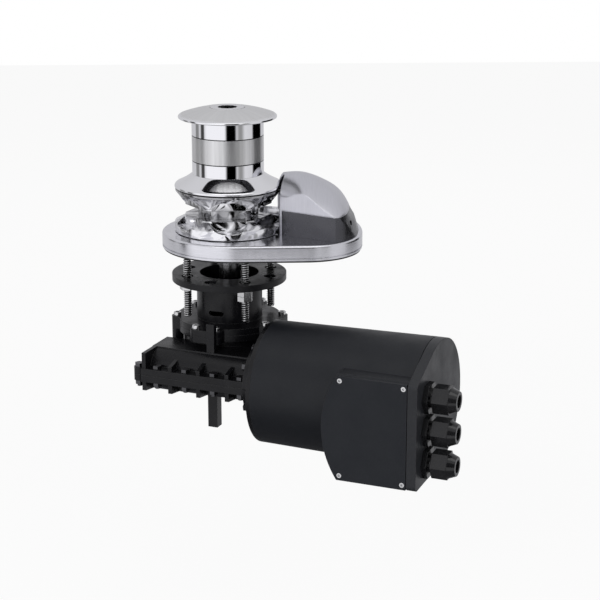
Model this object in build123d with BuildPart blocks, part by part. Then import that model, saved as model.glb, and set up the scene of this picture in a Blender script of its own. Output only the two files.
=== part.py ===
from build123d import *
from math import cos, degrees, pi, radians, sin, sqrt, tan
import os

# Vertical anchor windlass. The origin is on the main shaft's axis at the deck face, +Z points up
# and +X runs along the deck base towards the chain cover. Lengths are millimetres.

# Fits and gaps
running_gap = 0.05
seat_gap = 0.3
close_fit = 0.02

# Main shaft
shaft_radius = 12.5
shaft_thread_radius = 10.0
shaft_bottom = -176.0
shaft_shoulder = 128.0
shaft_top = 156.0
key_width = 8.0
key_depth = 4.0
key_stand = 3.0

# Deck base and its gasket
gasket_thickness = 2.0
base_top = 20.5
base_half_width = 90.0
tail_centre = 8.0
nose_centre = 5.0
nose_radius = 160.0
corner_radius = 70.0
base_wall = 6.0
base_plate = 5.5
base_edge_round = 3.0
rim_lip = 2.5
rim_groove = 1.2
rim_groove_depth = 1.2
rib_thickness = 4.0
pipe_centre = 96.0
pipe_length = 44.0
pipe_width = 50.0
pipe_corner = 10.0
pipe_wall = 5.0
bush_wall = 3.5
bush_length = 11.0
seal_radius = 20.0
seal_height = 7.0
hub_wall = 5.0

# Studs that clamp the deck between base and tower
stud_circle = 110.0
stud_radius = 5.0
stud_thread_radius = 4.75
stud_bottom = -86.0
stud_reach = 12.0
stud_hole_radius = 7.5
stud_angle = 45.0
washer_radius = 10.5
washer_thickness = 2.0
nut_across = 17.0
nut_height = 6.5

# Gypsy for a 10 mm chain
chain_wire = 10.0
chain_pitch = 28.0
link_width = 36.0
pocket_count = 6
pocket_play = 1.5
gypsy_bottom = 21.5
gypsy_height = 52.5
lower_flange_radius = 66.0
lower_flange_edge = 10.5
upper_flange_radius = 65.0
upper_flange_edge = 2.5
waist_radius = 53.0
waist_land = 1.5
groove_width = 13.0
groove_radius = 37.5
cone_mouth = 44.0
cone_throat = 33.0
cone_depth = 18.5
gypsy_bore = 28.0

# Clutch cones, drum and clutch nut
cone_hub_radius = 20.0
cone_hub_gap = 2.0
upper_cone_rim = 65.8
rim_bottom = 74.5
rim_height = 4.5
drum_bottom = 92.0
drum_radius = 43.8
drum_wall = 6.0
drum_shoulder = 160.0
cap_radius = 60.1
cap_edge = 3.0
cap_top = 174.0
band_groove_heights = (108.0, 139.0)
band_groove_width = 1.2
band_groove_depth = 0.6
drum_hub_radius = 22.0
nut_seat = 130.0
nut_body_radius = 17.5
nut_flange_radius = 21.0
nut_flange_bottom = 158.0
socket_radius = 12.5
socket_floor = 150.0
circlip_height = 153.0
circlip_thickness = 1.5
circlip_radius = 10.6
circlip_groove_radius = 9.2

# Chain cover and what works inside it
cover_clear_radius = 69.0
cover_apex = 14.7
cover_flare = 34.1
cover_inset = 4.0
cover_wall = 3.5
cover_seam = 50.5
cover_post_end = 64.5
cover_end_lean = 9.0
cover_lean_height = 30.0
cover_ridge = ((56, 88.5), (83, 91), (97, 88.8), (109, 84.6), (124, 77), (143, 60), (165, 28))
cover_arches = (42, 71, 95, 99, 122, 125, 125)
vent_depth = 12.0
vent_size = (8.5, 5.5)
vent_angle = -17.8
vent_middle = 38.0
slit_size = (6.0, 1.0)
slit_angle = -33.0
slit_middle = 46.0
skirt_recess = 0.8
cover_screw_places = ((136.0, 58.0), (136.0, -58.0))
cover_boss_radius = 6.0
cover_boss_height = 24.0
stripper_post = (84.0, -33.0)
stripper_tip = (40.0, -10.0)
stripper_thickness = 8.0
stripper_post_radius = 6.5
stripper_tip_radius = 2.0
lever_pivot = (80.0, 31.0)
lever_nose = (66.0, -3.0)
lever_boss_radius = 6.5
lever_nose_radius = 4.5
lever_pin_radius = 4.0
lever_pin_head = 5.5
spring_wire = 1.6

# Drive group: turned clockwise about the main shaft, with the motor to its right
drive_angle = 25.0
ring_top = -34.0
ring_thickness = 8.0
ring_radius = 71.0
neck_radius = 40.7
neck_wall = 3.9
neck_bottom = -90.0
tower_foot = 8.0
foot_disc_radius = 64.0
foot_lug_radius = 7.0
foot_side_lug = (60.0, 26.0)
foot_front_lug = (13.5, 69.0)
window_length = 20.0
window_height = 6.0
window_centre = -78.0
tab_width = 10.0
tab_offset = 11.8
tab_inner = 75.0
tab_outer = 82.5
tab_top = -78.5
m6_radius = 3.0
m6_head_radius = 5.0
m6_head_height = 4.5
m6_nut_height = 5.0

# Worm gearing
gear_module = 3.0
wheel_teeth = 38
worm_pitch_radius = 18.0
wheel_face = 24.0
backlash = 0.5
worm_turns = 5
flank_angle = 20.0
wheel_hub_radius = 24.0
wheel_web = 10.0
wheel_rim_radius = 46.0
axis_height = -142.0

# Gearcase
case_flange = 8.0
housing_radius = 66.0
housing_top = -121.0
housing_floor = -165.0
boss_radius = 34.0
boss_bottom = -182.0
bell_radius = 57.0
chamber_gap = 4.0
barrel_radius = 28.0
tunnel_radius = 23.0
tunnel_left = -66.0
plateau_height = -114.0
plateau_back = 44.0
plateau_front = 84.0
band_half = 8.5
band_front = 116.5
case_gasket = 0.8
rib_places = (-62.5, -27.5, 10.0, 48.0)
rib_front = 115.0
rib_back = -120.5
rib_top = -128.0
rib_foot = -161.5
case_rib = 5.0
bay_bolts = ((-47.0, 109.5), (-9.0, 109.5), (28.5, 109.5), (64.0, 109.5), (-72.0, 108.0))
rear_bolt_radius = 73.0
rear_bolt_angles = (20.0, 70.0, 110.0, 160.0)
bolt_lug_radius = 6.5
end_flange_radius = 44.0
end_flange_length = 8.0
pillar_place = (5.0, 58.0)
pillar_width = 12.5
pillar_bottom = -217.0
bearing_radius = 26.0
bearing_height = 15.0
spigot_height = 12.0
worm_journal = 8.0
worm_left_bearing = (17.5, 12.0)
worm_seat_left = -62.0
worm_core_left = -49.0
worm_core_right = 48.0
shaft_joint = 74.0
worm_right_journal = 10.0
worm_right_bearing = (23.0, 14.0)
end_cover_thickness = 4.0
end_cover_screws = 4
end_screw_circle = 21.0
end_cover_radius = 24.0
m4_radius = 2.0
m4_head_radius = 3.5
adapter_screw_circle = 38.0
adapter_screw_angles = (90.0, 140.0, 225.0, 315.0)

# Motor
adapter_start = 78.0
adapter_length = 15.0
casing_front_radius = 74.0
casing_rear_radius = 77.0
casing_wall = 4.0
casing_end = 290.0
rear_gasket = 0.8
rear_end = 302.0
box_front = 81.0
lid_thickness = 3.2
lid_gasket_thickness = 0.8
box_top = 49.0
box_foot = 79.0
box_corner = 6.0
box_bow = 19.0
box_left = 186.0
lid_screw_span = (209.5, 285.5)
lid_screw_inset = 6.8
lid_screw_head = 3.2
lid_head_depth = 2.2
lid_margin = 1.2
lid_opening_margin = 13.0
lid_opening_right = 277.0
rear_plate = 5.0
motor_shaft_radius = 8.0
coupling_radius = 13.0
yoke_end = 220.0
yoke_wall = 5.5
magnet_thickness = 9.0
magnet_arc = 76.0
armature_radius = 49.0
armature_start = 116.0
armature_end = 192.0
commutator_radius = 18.0
commutator_length = 18.0
motor_bearing = (17.5, 10.0)
armature_slots = 12
slot_width = 5.0
slot_depth = 8.0
end_shield_thickness = 10.0
brush_size = (8.0, 12.0, 14.0)

# Terminals and cable glands
gland_heights = (-118.0, -157.0, -196.0)
gland_depth = 125.0
gland_flange_across = 33.0
gland_flange = 6.0
gland_neck_radius = 11.0
gland_thread_radius = 10.0
gland_nut_across = 30.0
gland_nut_start = 10.0
gland_nut_hex = 19.0
gland_end = 38.0
gland_neck_length = 14.0
gland_dome_taper = 22.0
gland_mouth_radius = 7.5
gland_cable_radius = 6.5
gland_seal_length = 11.0
locknut_across = 27.0
locknut_thickness = 4.5
block_thickness = 16.0
block_width = 40.0
block_height = 96.0
terminal_radius = 4.0
terminal_length = 16.0

# Sizes that follow from the ones above
chain_centre = gypsy_bottom + gypsy_height / 2
gypsy_top = gypsy_bottom + gypsy_height
pocket_length = chain_pitch + 2 * chain_wire + pocket_play
pocket_width = link_width + pocket_play
chain_radius = chain_pitch / 2 / sin(pi / (2 * pocket_count))
pocket_floor = chain_radius - chain_wire / 2
bush_radius = shaft_radius + bush_wall
hub_radius = seal_radius + hub_wall
neck_bore = neck_radius - neck_wall
ring_bottom = ring_top - ring_thickness
foot_bottom = neck_bottom - tower_foot
flange_bottom = foot_bottom - case_flange
wheel_pitch_radius = gear_module * wheel_teeth / 2
centre_distance = wheel_pitch_radius + worm_pitch_radius
worm_lead = pi * gear_module
addendum = gear_module
dedendum = 1.2 * gear_module
chamber_radius = wheel_pitch_radius + addendum + chamber_gap / 2
chamber_half = wheel_face / 2 + chamber_gap
adapter_end = adapter_start + adapter_length
lid_face = box_front + lid_gasket_thickness + lid_thickness
cover_start = casing_end + rear_gasket
shield_end = yoke_end + end_shield_thickness
yoke_radius = casing_front_radius - casing_wall - seat_gap
gland_places = [(centre_distance - gland_depth, height - axis_height) for height in gland_heights]
lid_screw_places = [
    (place, height)
    for place in lid_screw_span
    for height in (
        axis_height + box_top - lid_screw_inset,
        axis_height - box_foot + lid_screw_inset,
    )
]

turn = radians(drive_angle)
drive = Plane(origin=(0, 0, 0), x_dir=(cos(turn), -sin(turn), 0), z_dir=(0, 0, 1))
motor_origin = drive.from_local_coords(Vector(0, -centre_distance, axis_height))
motor_side = Plane(origin=motor_origin, x_dir=drive.x_dir, z_dir=-drive.y_dir)
motor_across = Plane(origin=motor_origin, x_dir=drive.y_dir, z_dir=drive.x_dir)
motor_axis = Axis(motor_origin, drive.x_dir)
front = Plane(origin=(0, 0, 0), x_dir=drive.x_dir, z_dir=-drive.y_dir)
side = Plane(origin=(0, 0, 0), x_dir=drive.y_dir, z_dir=drive.x_dir)

os.makedirs("parts", exist_ok=True)


def save(piece, name):
    """Label one finished sub-part and write its STEP file."""
    piece.part.label = name
    export_step(piece.part, "parts/" + name + ".step")


def base_plan(inset):
    """Plan of the deck base: round tail, straight flanks and a blunt rounded nose."""
    half = base_half_width - inset
    corner_y = base_half_width - corner_radius
    corner_x = nose_centre + sqrt((nose_radius - corner_radius) ** 2 - corner_y**2)
    stretch = (nose_radius - inset) / (nose_radius - corner_radius)
    corner_end = (nose_centre + (corner_x - nose_centre) * stretch, corner_y * stretch)
    swing = (corner_radius - inset) * sin(pi / 4)
    with BuildLine() as outline:
        CenterArc((tail_centre, 0), half, 90, 180)
        Line((tail_centre, -half), (corner_x, -half))
        RadiusArc((corner_x, -half), (corner_end[0], -corner_end[1]), -(corner_radius - inset))
        ThreePointArc(
            (corner_end[0], -corner_end[1]), (nose_centre + nose_radius - inset, 0), corner_end
        )
        RadiusArc(corner_end, (corner_x, half), -(corner_radius - inset))
        Line((corner_x, half), (tail_centre, half))
    make_face(outline.edges())


def chain_pipe_plan(margin):
    """Rounded opening through which the chain falls below deck."""
    with Locations((pipe_centre, 0)):
        RectangleRounded(
            pipe_length + 2 * margin, pipe_width + 2 * margin, pipe_corner + margin
        )


def stud_places():
    """The four stud centres, on the drive group's diagonals."""
    return PolarLocations(stud_circle / 2, 4, start_angle=stud_angle - drive_angle)


def ring_profile(points):
    """Face of revolution from radius and height pairs."""
    with BuildLine() as outline:
        Polyline(*points, close=True)
    make_face(outline.edges())


def cover_form(inset):
    """Solid outer form of the chain cover, or of its inside when inset by the wall."""
    reach = base_half_width * 2
    half_flare = radians(cover_flare)
    apex = cover_apex + inset / sin(half_flare)
    nose = nose_radius - cover_inset - inset
    with BuildPart() as form:
        for (station, ridge), arch in zip(cover_ridge, cover_arches):
            flank = (station - cover_apex) * tan(half_flare)
            half = min(flank + cover_wall, base_half_width)
            shoulder = ridge - inset - arch + sqrt(arch**2 - half**2)
            with BuildSketch(Plane.YZ.offset(station)):
                with BuildLine():
                    ThreePointArc((-half, shoulder), (0, ridge - inset), (half, shoulder))
                    Polyline((half, shoulder), (half, -base_top), (-half, -base_top), (-half, shoulder))
                make_face()
        loft()
        with BuildSketch(Plane.XY.offset(base_top)):
            Polygon(
                (apex, 0),
                (apex + reach, reach * tan(half_flare)),
                (apex + reach, -reach * tan(half_flare)),
                align=None,
            )
        extrude(amount=reach, mode=Mode.INTERSECT)
        with BuildSketch(Plane.XY.offset(base_top)):
            base_plan(cover_inset + inset)
        extrude(amount=reach, mode=Mode.INTERSECT)
        with BuildSketch(Plane.XZ):
            with BuildLine():
                Polyline(
                    (nose_centre, base_top),
                    (nose_centre + nose, base_top),
                    (nose_centre + nose - cover_end_lean, base_top + cover_lean_height),
                    (nose_centre + nose - 3 * cover_end_lean, base_top + 3 * cover_lean_height),
                    (nose_centre, base_top + 3 * cover_lean_height),
                    close=True,
                )
            make_face()
        revolve(axis=Axis((nose_centre, 0, 0), (0, 0, 1)), mode=Mode.INTERSECT)
    return form.part


def casing_section(radius, front_reach, inset):
    """Motor housing section: a circle drawn out to the terminal box, seen along the motor."""
    corner = box_corner - inset
    Circle(radius - inset)
    with Locations(
        (corner + inset - front_reach, box_top - inset - corner),
        (corner + inset - front_reach, inset + corner - box_foot),
    ):
        Circle(corner)
    make_hull()


def box_front_view(left, margin, right):
    """Terminal box seen from the front, with its left edge bowed outwards."""
    top = axis_height + box_top - margin
    foot = axis_height - box_foot + margin
    with BuildLine() as outline:
        ThreePointArc(
            (left + box_bow, top), (left, (top + foot) / 2), (left + box_bow, foot)
        )
        Polyline((left + box_bow, foot), (right, foot), (right, top), (left + box_bow, top))
    make_face(outline.edges())


def foot_plan():
    """Round flange with four screw ears that joins the tower to the gearcase."""
    Circle(foot_disc_radius)
    for across, along in (foot_side_lug, foot_front_lug):
        RectangleRounded(
            2 * (across + foot_lug_radius), 2 * (along + foot_lug_radius), foot_lug_radius
        )


def foot_screw_places():
    """Places of the eight tower screws in the drive plane."""
    places = []
    for x in (-1, 1):
        for y in (-1, 1):
            places.append((x * foot_side_lug[0], y * foot_side_lug[1]))
            places.append((x * foot_front_lug[0], y * foot_front_lug[1]))
    return places


def case_bolt_places():
    """Places of the bolts round the gearcase's split band, in the drive plane."""
    places = [(u, -depth) for u, depth in bay_bolts]
    for angle in rear_bolt_angles:
        places.append(
            (rear_bolt_radius * cos(radians(angle)), rear_bolt_radius * sin(radians(angle)))
        )
    return places


def band_plan():
    """Plan of the split band: round behind the wheel, square in front of the worm."""
    Circle(housing_radius + case_rib)
    with Locations(((tunnel_left + adapter_start) / 2, -band_front / 2)):
        Rectangle(adapter_start - tunnel_left, band_front)
    with Locations(*case_bolt_places()):
        Circle(bolt_lug_radius)


# Base gasket: a soft sheet between the base and the deck
with BuildPart() as base_gasket:
    with BuildSketch():
        base_plan(rim_groove_depth)
        Circle(hub_radius, mode=Mode.SUBTRACT)
        with stud_places():
            Circle(stud_radius + seat_gap, mode=Mode.SUBTRACT)
        with Locations((pipe_centre, 0)):
            RectangleRounded(pipe_length, pipe_width, pipe_corner, mode=Mode.SUBTRACT)
    extrude(amount=gasket_thickness)
save(base_gasket, "base_gasket")

# Base: a casting with a rolled upper edge, a lip under a fine groove, and ribs inside
with BuildPart() as base:
    with BuildSketch(Plane.XY.offset(gasket_thickness)):
        base_plan(0)
    extrude(amount=rim_lip)
    with BuildSketch(Plane.XY.offset(gasket_thickness + rim_lip)):
        base_plan(rim_groove_depth)
    extrude(amount=rim_groove)
    with BuildSketch(Plane.XY.offset(gasket_thickness + rim_lip + rim_groove)):
        base_plan(0)
    extrude(amount=base_top - gasket_thickness - rim_lip - rim_groove)
    fillet(base.faces().sort_by(Axis.Z)[-1].edges(), base_edge_round)
    with BuildSketch(Plane.XY.offset(gasket_thickness)):
        base_plan(base_wall)
        Circle(hub_radius, mode=Mode.SUBTRACT)
        with stud_places():
            Circle(stud_radius + hub_wall, mode=Mode.SUBTRACT)
        with Locations((pipe_centre, 0)):
            RectangleRounded(
                pipe_length + 2 * pipe_wall,
                pipe_width + 2 * pipe_wall,
                pipe_corner + pipe_wall,
                mode=Mode.SUBTRACT,
            )
        Rectangle(rib_thickness, 2 * base_half_width, mode=Mode.SUBTRACT)
        with Locations((-base_half_width / 2, 0)):
            Rectangle(base_half_width, rib_thickness, mode=Mode.SUBTRACT)
    extrude(amount=base_top - base_plate - gasket_thickness, mode=Mode.SUBTRACT)
    with BuildSketch(Plane.XY.offset(gasket_thickness)):
        Circle(bush_radius + close_fit)
        chain_pipe_plan(0)
    extrude(amount=base_top, mode=Mode.SUBTRACT)
    with BuildSketch(Plane.XY.offset(base_top - seal_height)):
        Circle(seal_radius + close_fit)
    extrude(amount=seal_height, mode=Mode.SUBTRACT)
    with BuildSketch(Plane.XY.offset(gasket_thickness)):
        with stud_places():
            Circle(stud_thread_radius + running_gap)
    extrude(amount=stud_reach, mode=Mode.SUBTRACT)
    with BuildSketch(Plane.XY.offset(gasket_thickness)):
        with Locations(stripper_post):
            Circle(m6_radius + close_fit)
        with Locations(lever_pivot):
            Circle(lever_pin_radius + close_fit)
        with Locations(*cover_screw_places):
            Circle(m6_radius + close_fit)
    extrude(amount=base_top, mode=Mode.SUBTRACT)
save(base, "base")

# Bronze bush that guides the main shaft through the base
with BuildPart() as shaft_bush:
    with BuildSketch(Plane.XY.offset(gasket_thickness)):
        Circle(bush_radius)
        Circle(shaft_radius + running_gap, mode=Mode.SUBTRACT)
    extrude(amount=bush_length)
save(shaft_bush, "shaft_bush")

# Lip seal above the bush
with BuildPart() as shaft_seal:
    with BuildSketch(Plane.XY.offset(base_top - seal_height)):
        Circle(seal_radius)
        Circle(shaft_radius + running_gap, mode=Mode.SUBTRACT)
    extrude(amount=seal_height - seat_gap)
save(shaft_seal, "shaft_seal")

# Deck studs: screwed into the base, with a plain shank through the deck
with BuildPart() as deck_studs:
    with BuildSketch(Plane.XY.offset(stud_bottom)):
        with stud_places():
            Circle(stud_thread_radius)
    extrude(amount=gasket_thickness + stud_reach - stud_bottom)
    chamfer(deck_studs.edges().group_by(Axis.Z)[0], 1.0)
    with BuildSketch(Plane.XY.offset(ring_top + gasket_thickness)):
        with stud_places():
            Circle(stud_radius)
    extrude(amount=-ring_top - gasket_thickness)
save(deck_studs, "deck_studs")

# Washers and nuts that draw the tower's ring up under the deck, with a lock nut in front
with BuildPart() as stud_washers:
    with BuildSketch(Plane.XY.offset(ring_bottom - washer_thickness)):
        with stud_places():
            Circle(washer_radius)
            Circle(stud_radius + seat_gap, mode=Mode.SUBTRACT)
    extrude(amount=washer_thickness)
save(stud_washers, "stud_washers")

with BuildPart() as stud_nuts:
    with BuildSketch(Plane.XY.offset(ring_bottom - washer_thickness - nut_height)):
        with stud_places():
            RegularPolygon(nut_across / 2, 6, major_radius=False)
            Circle(stud_thread_radius + close_fit, mode=Mode.SUBTRACT)
    extrude(amount=nut_height)
    with BuildSketch(Plane.XY.offset(ring_bottom - washer_thickness - 2 * nut_height)):
        with PolarLocations(stud_circle / 2, 1, start_angle=-stud_angle - drive_angle):
            RegularPolygon(nut_across / 2, 6, major_radius=False)
            Circle(stud_thread_radius + close_fit, mode=Mode.SUBTRACT)
    extrude(amount=nut_height)
save(stud_nuts, "stud_nuts")

# Gypsy: chain wheel with a central groove and a pocket for every second link
groove_low = chain_centre - groove_width / 2
groove_high = chain_centre + groove_width / 2
with BuildPart() as gypsy:
    with BuildSketch(Plane.XZ):
        ring_profile(
            (
                (cone_mouth, gypsy_bottom),
                (cone_throat, gypsy_bottom + cone_depth),
                (gypsy_bore, gypsy_bottom + cone_depth),
                (gypsy_bore, gypsy_top - cone_depth),
                (cone_throat, gypsy_top - cone_depth),
                (cone_mouth, gypsy_top),
                (upper_flange_radius, gypsy_top),
                (upper_flange_radius, gypsy_top - upper_flange_edge),
                (waist_radius, groove_high + waist_land),
                (waist_radius, groove_high),
                (groove_radius, groove_high),
                (groove_radius, groove_low),
                (waist_radius, groove_low),
                (waist_radius, groove_low - waist_land),
                (lower_flange_radius, gypsy_bottom + lower_flange_edge),
                (lower_flange_radius, gypsy_bottom),
            )
        )
    revolve(axis=Axis.Z)
    for pocket in range(pocket_count):
        facing = 2 * pi * (pocket + 0.5) / pocket_count
        outward = Vector(cos(facing), sin(facing), 0)
        pocket_plane = Plane(
            origin=outward * pocket_floor + Vector(0, 0, chain_centre),
            x_dir=(-sin(facing), cos(facing), 0),
            z_dir=outward,
        )
        with BuildSketch(pocket_plane):
            SlotOverall(pocket_length, pocket_width)
        extrude(amount=lower_flange_radius, mode=Mode.SUBTRACT)
save(gypsy, "gypsy")

# Lower clutch cone: keyed to the shaft, carries the gypsy
cone_slope = (cone_mouth - cone_throat) / cone_depth
hub_split = chain_centre - cone_hub_gap / 2
with BuildPart() as lower_clutch_cone:
    with BuildSketch(Plane.XZ):
        ring_profile(
            (
                (shaft_radius + close_fit, base_top + seat_gap),
                (cone_hub_radius, base_top + seat_gap),
                (cone_mouth - seat_gap, gypsy_bottom),
                (cone_throat - seat_gap, gypsy_bottom + cone_depth),
                (cone_hub_radius, gypsy_bottom + cone_depth),
                (cone_hub_radius, hub_split),
                (shaft_radius + close_fit, hub_split),
            )
        )
    revolve(axis=Axis.Z)
    with BuildSketch(Plane.XY.offset(base_top)):
        with Locations((shaft_radius, 0)):
            Rectangle(2 * (key_stand + close_fit), key_width + 2 * close_fit)
    extrude(amount=hub_split - base_top, mode=Mode.SUBTRACT)
save(lower_clutch_cone, "lower_clutch_cone")

# Upper clutch cone: keyed, but free to lift, with the skirt that shows above the gypsy
with BuildPart() as upper_clutch_cone:
    with BuildSketch(Plane.XZ):
        ring_profile(
            (
                (shaft_radius + running_gap, hub_split + cone_hub_gap),
                (cone_hub_radius, hub_split + cone_hub_gap),
                (cone_hub_radius, gypsy_top - cone_depth + seat_gap),
                (cone_throat - seat_gap, gypsy_top - cone_depth + seat_gap),
                (cone_mouth - seat_gap, gypsy_top + seat_gap),
                (cone_mouth - seat_gap, rim_bottom),
                (upper_cone_rim, rim_bottom),
                (upper_cone_rim, rim_bottom + rim_height),
                (drum_radius, drum_bottom),
                (shaft_radius + running_gap, drum_bottom),
            )
        )
    revolve(axis=Axis.Z)
    with BuildSketch(Plane.XY.offset(hub_split)):
        with Locations((shaft_radius, 0)):
            Rectangle(2 * (key_stand + seat_gap), key_width + 2 * running_gap)
    extrude(amount=drum_bottom - hub_split, mode=Mode.SUBTRACT)
save(upper_clutch_cone, "upper_clutch_cone")

# Warping drum: hollow barrel with two fine grooves under a domed cap
dome_rise = cap_top - drum_shoulder - cap_edge
dome_radius = (cap_radius**2 + dome_rise**2) / (2 * dome_rise)
cap_hole = nut_flange_radius + seat_gap
cap_hole_edge = cap_top - dome_radius + sqrt(dome_radius**2 - cap_hole**2)
with BuildPart() as drum:
    with BuildSketch(Plane.XZ):
        with BuildLine():
            Polyline(
                (cap_hole, cap_hole_edge),
                (cap_hole, nut_flange_bottom),
                (nut_body_radius + seat_gap, nut_flange_bottom),
                (nut_body_radius + seat_gap, nut_seat),
                (shaft_radius + running_gap, nut_seat),
                (shaft_radius + running_gap, drum_bottom),
                (drum_hub_radius, drum_bottom),
                (drum_hub_radius, drum_shoulder - drum_wall),
                (drum_radius - drum_wall, drum_shoulder - drum_wall),
                (drum_radius - drum_wall, drum_bottom),
                (drum_radius, drum_bottom),
                (drum_radius, drum_shoulder),
                (cap_radius, drum_shoulder),
                (cap_radius, drum_shoulder + cap_edge),
            )
            RadiusArc((cap_radius, drum_shoulder + cap_edge), (cap_hole, cap_hole_edge), -dome_radius)
        make_face()
    revolve(axis=Axis.Z)
    for height in band_groove_heights:
        with BuildSketch(Plane.XY.offset(height - band_groove_width / 2)):
            Circle(drum_radius + band_groove_depth)
            Circle(drum_radius - band_groove_depth, mode=Mode.SUBTRACT)
        extrude(amount=band_groove_width, mode=Mode.SUBTRACT)
save(drum, "drum")

# Clutch nut: a twelve-point handle socket above the thread that clamps the drum down
with BuildPart() as clutch_nut:
    with BuildSketch(Plane.XY.offset(nut_seat)):
        Circle(nut_body_radius)
    extrude(amount=nut_flange_bottom - nut_seat)
    with BuildSketch(Plane.XY.offset(nut_flange_bottom + seat_gap)):
        Circle(nut_flange_radius)
    extrude(amount=cap_hole_edge - nut_flange_bottom - seat_gap)
    with BuildSketch(Plane.XY.offset(nut_flange_bottom)):
        Circle(nut_body_radius)
    extrude(amount=seat_gap)
    with BuildSketch(Plane.XY.offset(nut_seat)):
        Circle(shaft_thread_radius + running_gap)
    extrude(amount=socket_floor - nut_seat, mode=Mode.SUBTRACT)
    with BuildSketch(Plane.XY.offset(socket_floor)):
        RegularPolygon(socket_radius, 6)
        RegularPolygon(socket_radius, 6, rotation=30)
    extrude(amount=cap_top - socket_floor, mode=Mode.SUBTRACT)
save(clutch_nut, "clutch_nut")

# Circlip that keeps the clutch nut on the shaft
with BuildPart() as top_circlip:
    with BuildSketch(Plane.XY.offset(circlip_height)):
        Circle(circlip_radius)
        Circle(circlip_groove_radius + close_fit, mode=Mode.SUBTRACT)
        with Locations((circlip_radius, 0)):
            Rectangle(circlip_radius, circlip_thickness, mode=Mode.SUBTRACT)
    extrude(amount=circlip_thickness - running_gap)
save(top_circlip, "top_circlip")

# Keys: one in each clutch cone on the deck side, one in the worm wheel below
lower_key_span = (base_top + key_stand, hub_split - key_stand)
upper_key_span = (hub_split + cone_hub_gap + key_stand, drum_bottom - key_stand)
wheel_key_span = (axis_height - wheel_face / 2, axis_height + wheel_face / 2)


def key_blocks(margin):
    """The three keys as solid blocks, widened by a fit."""
    for span in (lower_key_span, upper_key_span, wheel_key_span):
        plane = drive if span == wheel_key_span else Plane.XY
        with BuildSketch(plane.offset(span[0] - margin)) as key_face:
            with Locations((shaft_radius - key_depth / 2 + key_stand / 2, 0)):
                Rectangle(key_depth + key_stand + margin, key_width + 2 * margin)
        yield extrude(key_face.sketch, amount=span[1] - span[0] + 2 * margin, mode=Mode.PRIVATE)


with BuildPart() as shaft_keys:
    add(list(key_blocks(0)))
save(shaft_keys, "shaft_keys")

# Main shaft: one bar from the gearcase's floor to the clutch nut
with BuildPart() as main_shaft:
    with BuildSketch(Plane.XZ):
        ring_profile(
            (
                (0, shaft_bottom),
                (shaft_radius, shaft_bottom),
                (shaft_radius, shaft_shoulder),
                (shaft_thread_radius, shaft_shoulder),
                (shaft_thread_radius, circlip_height),
                (circlip_groove_radius, circlip_height),
                (circlip_groove_radius, circlip_height + circlip_thickness),
                (shaft_thread_radius, circlip_height + circlip_thickness),
                (shaft_thread_radius, shaft_top),
                (0, shaft_top),
            )
        )
    revolve(axis=Axis.Z)
    add(list(key_blocks(close_fit)), mode=Mode.SUBTRACT)
save(main_shaft, "main_shaft")

# Chain cover: a thin arched dome cut round the gypsy, with a post down each front edge
cover_reach = 2 * base_half_width


def cover_shell(recess):
    """Open shell of the chain cover, its outside set back by a recess."""
    with BuildPart() as shell:
        add(cover_form(recess))
        add(cover_form(cover_wall), mode=Mode.SUBTRACT)
        with BuildSketch(Plane.XY.offset(base_top)):
            Circle(cover_clear_radius)
        extrude(amount=cover_reach, mode=Mode.SUBTRACT)
    return shell.part


def skirt_zone():
    """Block that holds the dark skirt below the seam and behind the posts."""
    with BuildSketch(Plane.XY.offset(base_top)) as zone:
        with Locations((cover_post_end + cover_reach / 2, 0)):
            Rectangle(cover_reach, cover_reach)
    return extrude(zone.sketch, amount=cover_seam - base_top, mode=Mode.PRIVATE)


with BuildPart() as chain_cover:
    add(cover_shell(0))
    add(skirt_zone(), mode=Mode.SUBTRACT)
save(chain_cover, "chain_cover")

# Skirt of the chain cover, with a small vent in its end and two screw bosses inside
with BuildPart() as cover_skirt:
    add(cover_shell(skirt_recess))
    add(skirt_zone(), mode=Mode.INTERSECT)
    with BuildSketch(Plane.XY.offset(base_top)):
        with Locations(*cover_screw_places):
            Circle(cover_boss_radius)
    extrude(amount=cover_boss_height)
    with BuildSketch(Plane.XY.offset(base_top)):
        with Locations(*cover_screw_places):
            Circle(m6_radius + close_fit)
    extrude(amount=cover_boss_height - cover_wall, mode=Mode.SUBTRACT)
    for angle, middle, size in (
        (vent_angle, vent_middle, vent_size),
        (slit_angle, slit_middle, slit_size),
    ):
        outward = Vector(cos(radians(angle)), sin(radians(angle)), 0)
        start = Vector(nose_centre, 0, middle) + outward * (nose_radius - 2 * vent_depth)
        with BuildSketch(Plane(origin=start, x_dir=(-outward.Y, outward.X, 0), z_dir=outward)):
            SlotOverall(*size)
        extrude(amount=3 * vent_depth, mode=Mode.SUBTRACT)
save(cover_skirt, "cover_skirt")

# Screws from under the base into the skirt's bosses
plate_bottom = base_top - base_plate
with BuildPart() as cover_screws:
    with BuildSketch(Plane.XY.offset(plate_bottom - m6_head_height)):
        with Locations(*cover_screw_places):
            Circle(m6_head_radius)
    extrude(amount=m6_head_height)
    with BuildSketch(Plane.XY.offset(plate_bottom)):
        with Locations(*cover_screw_places):
            Circle(m6_radius)
    extrude(amount=base_plate + cover_boss_height - 2 * cover_wall)
save(cover_screws, "cover_screws")

# Stripper: a finger in the gypsy's groove that lifts the chain out, on its own post
stripper_bottom = chain_centre - stripper_thickness / 2
with BuildPart() as stripper:
    with BuildSketch(Plane.XY.offset(stripper_bottom)):
        with Locations(stripper_post):
            Circle(stripper_post_radius)
        with Locations(stripper_tip):
            Circle(stripper_tip_radius)
        make_hull()
    extrude(amount=stripper_thickness)
    with BuildSketch(Plane.XY.offset(base_top)):
        with Locations(stripper_post):
            Circle(stripper_post_radius)
    extrude(amount=stripper_bottom - base_top)
    with BuildSketch(Plane.XY.offset(base_top)):
        with Locations(stripper_post):
            Circle(m6_radius + close_fit)
    extrude(amount=stripper_bottom + stripper_thickness - base_top, mode=Mode.SUBTRACT)
save(stripper, "stripper")

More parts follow.
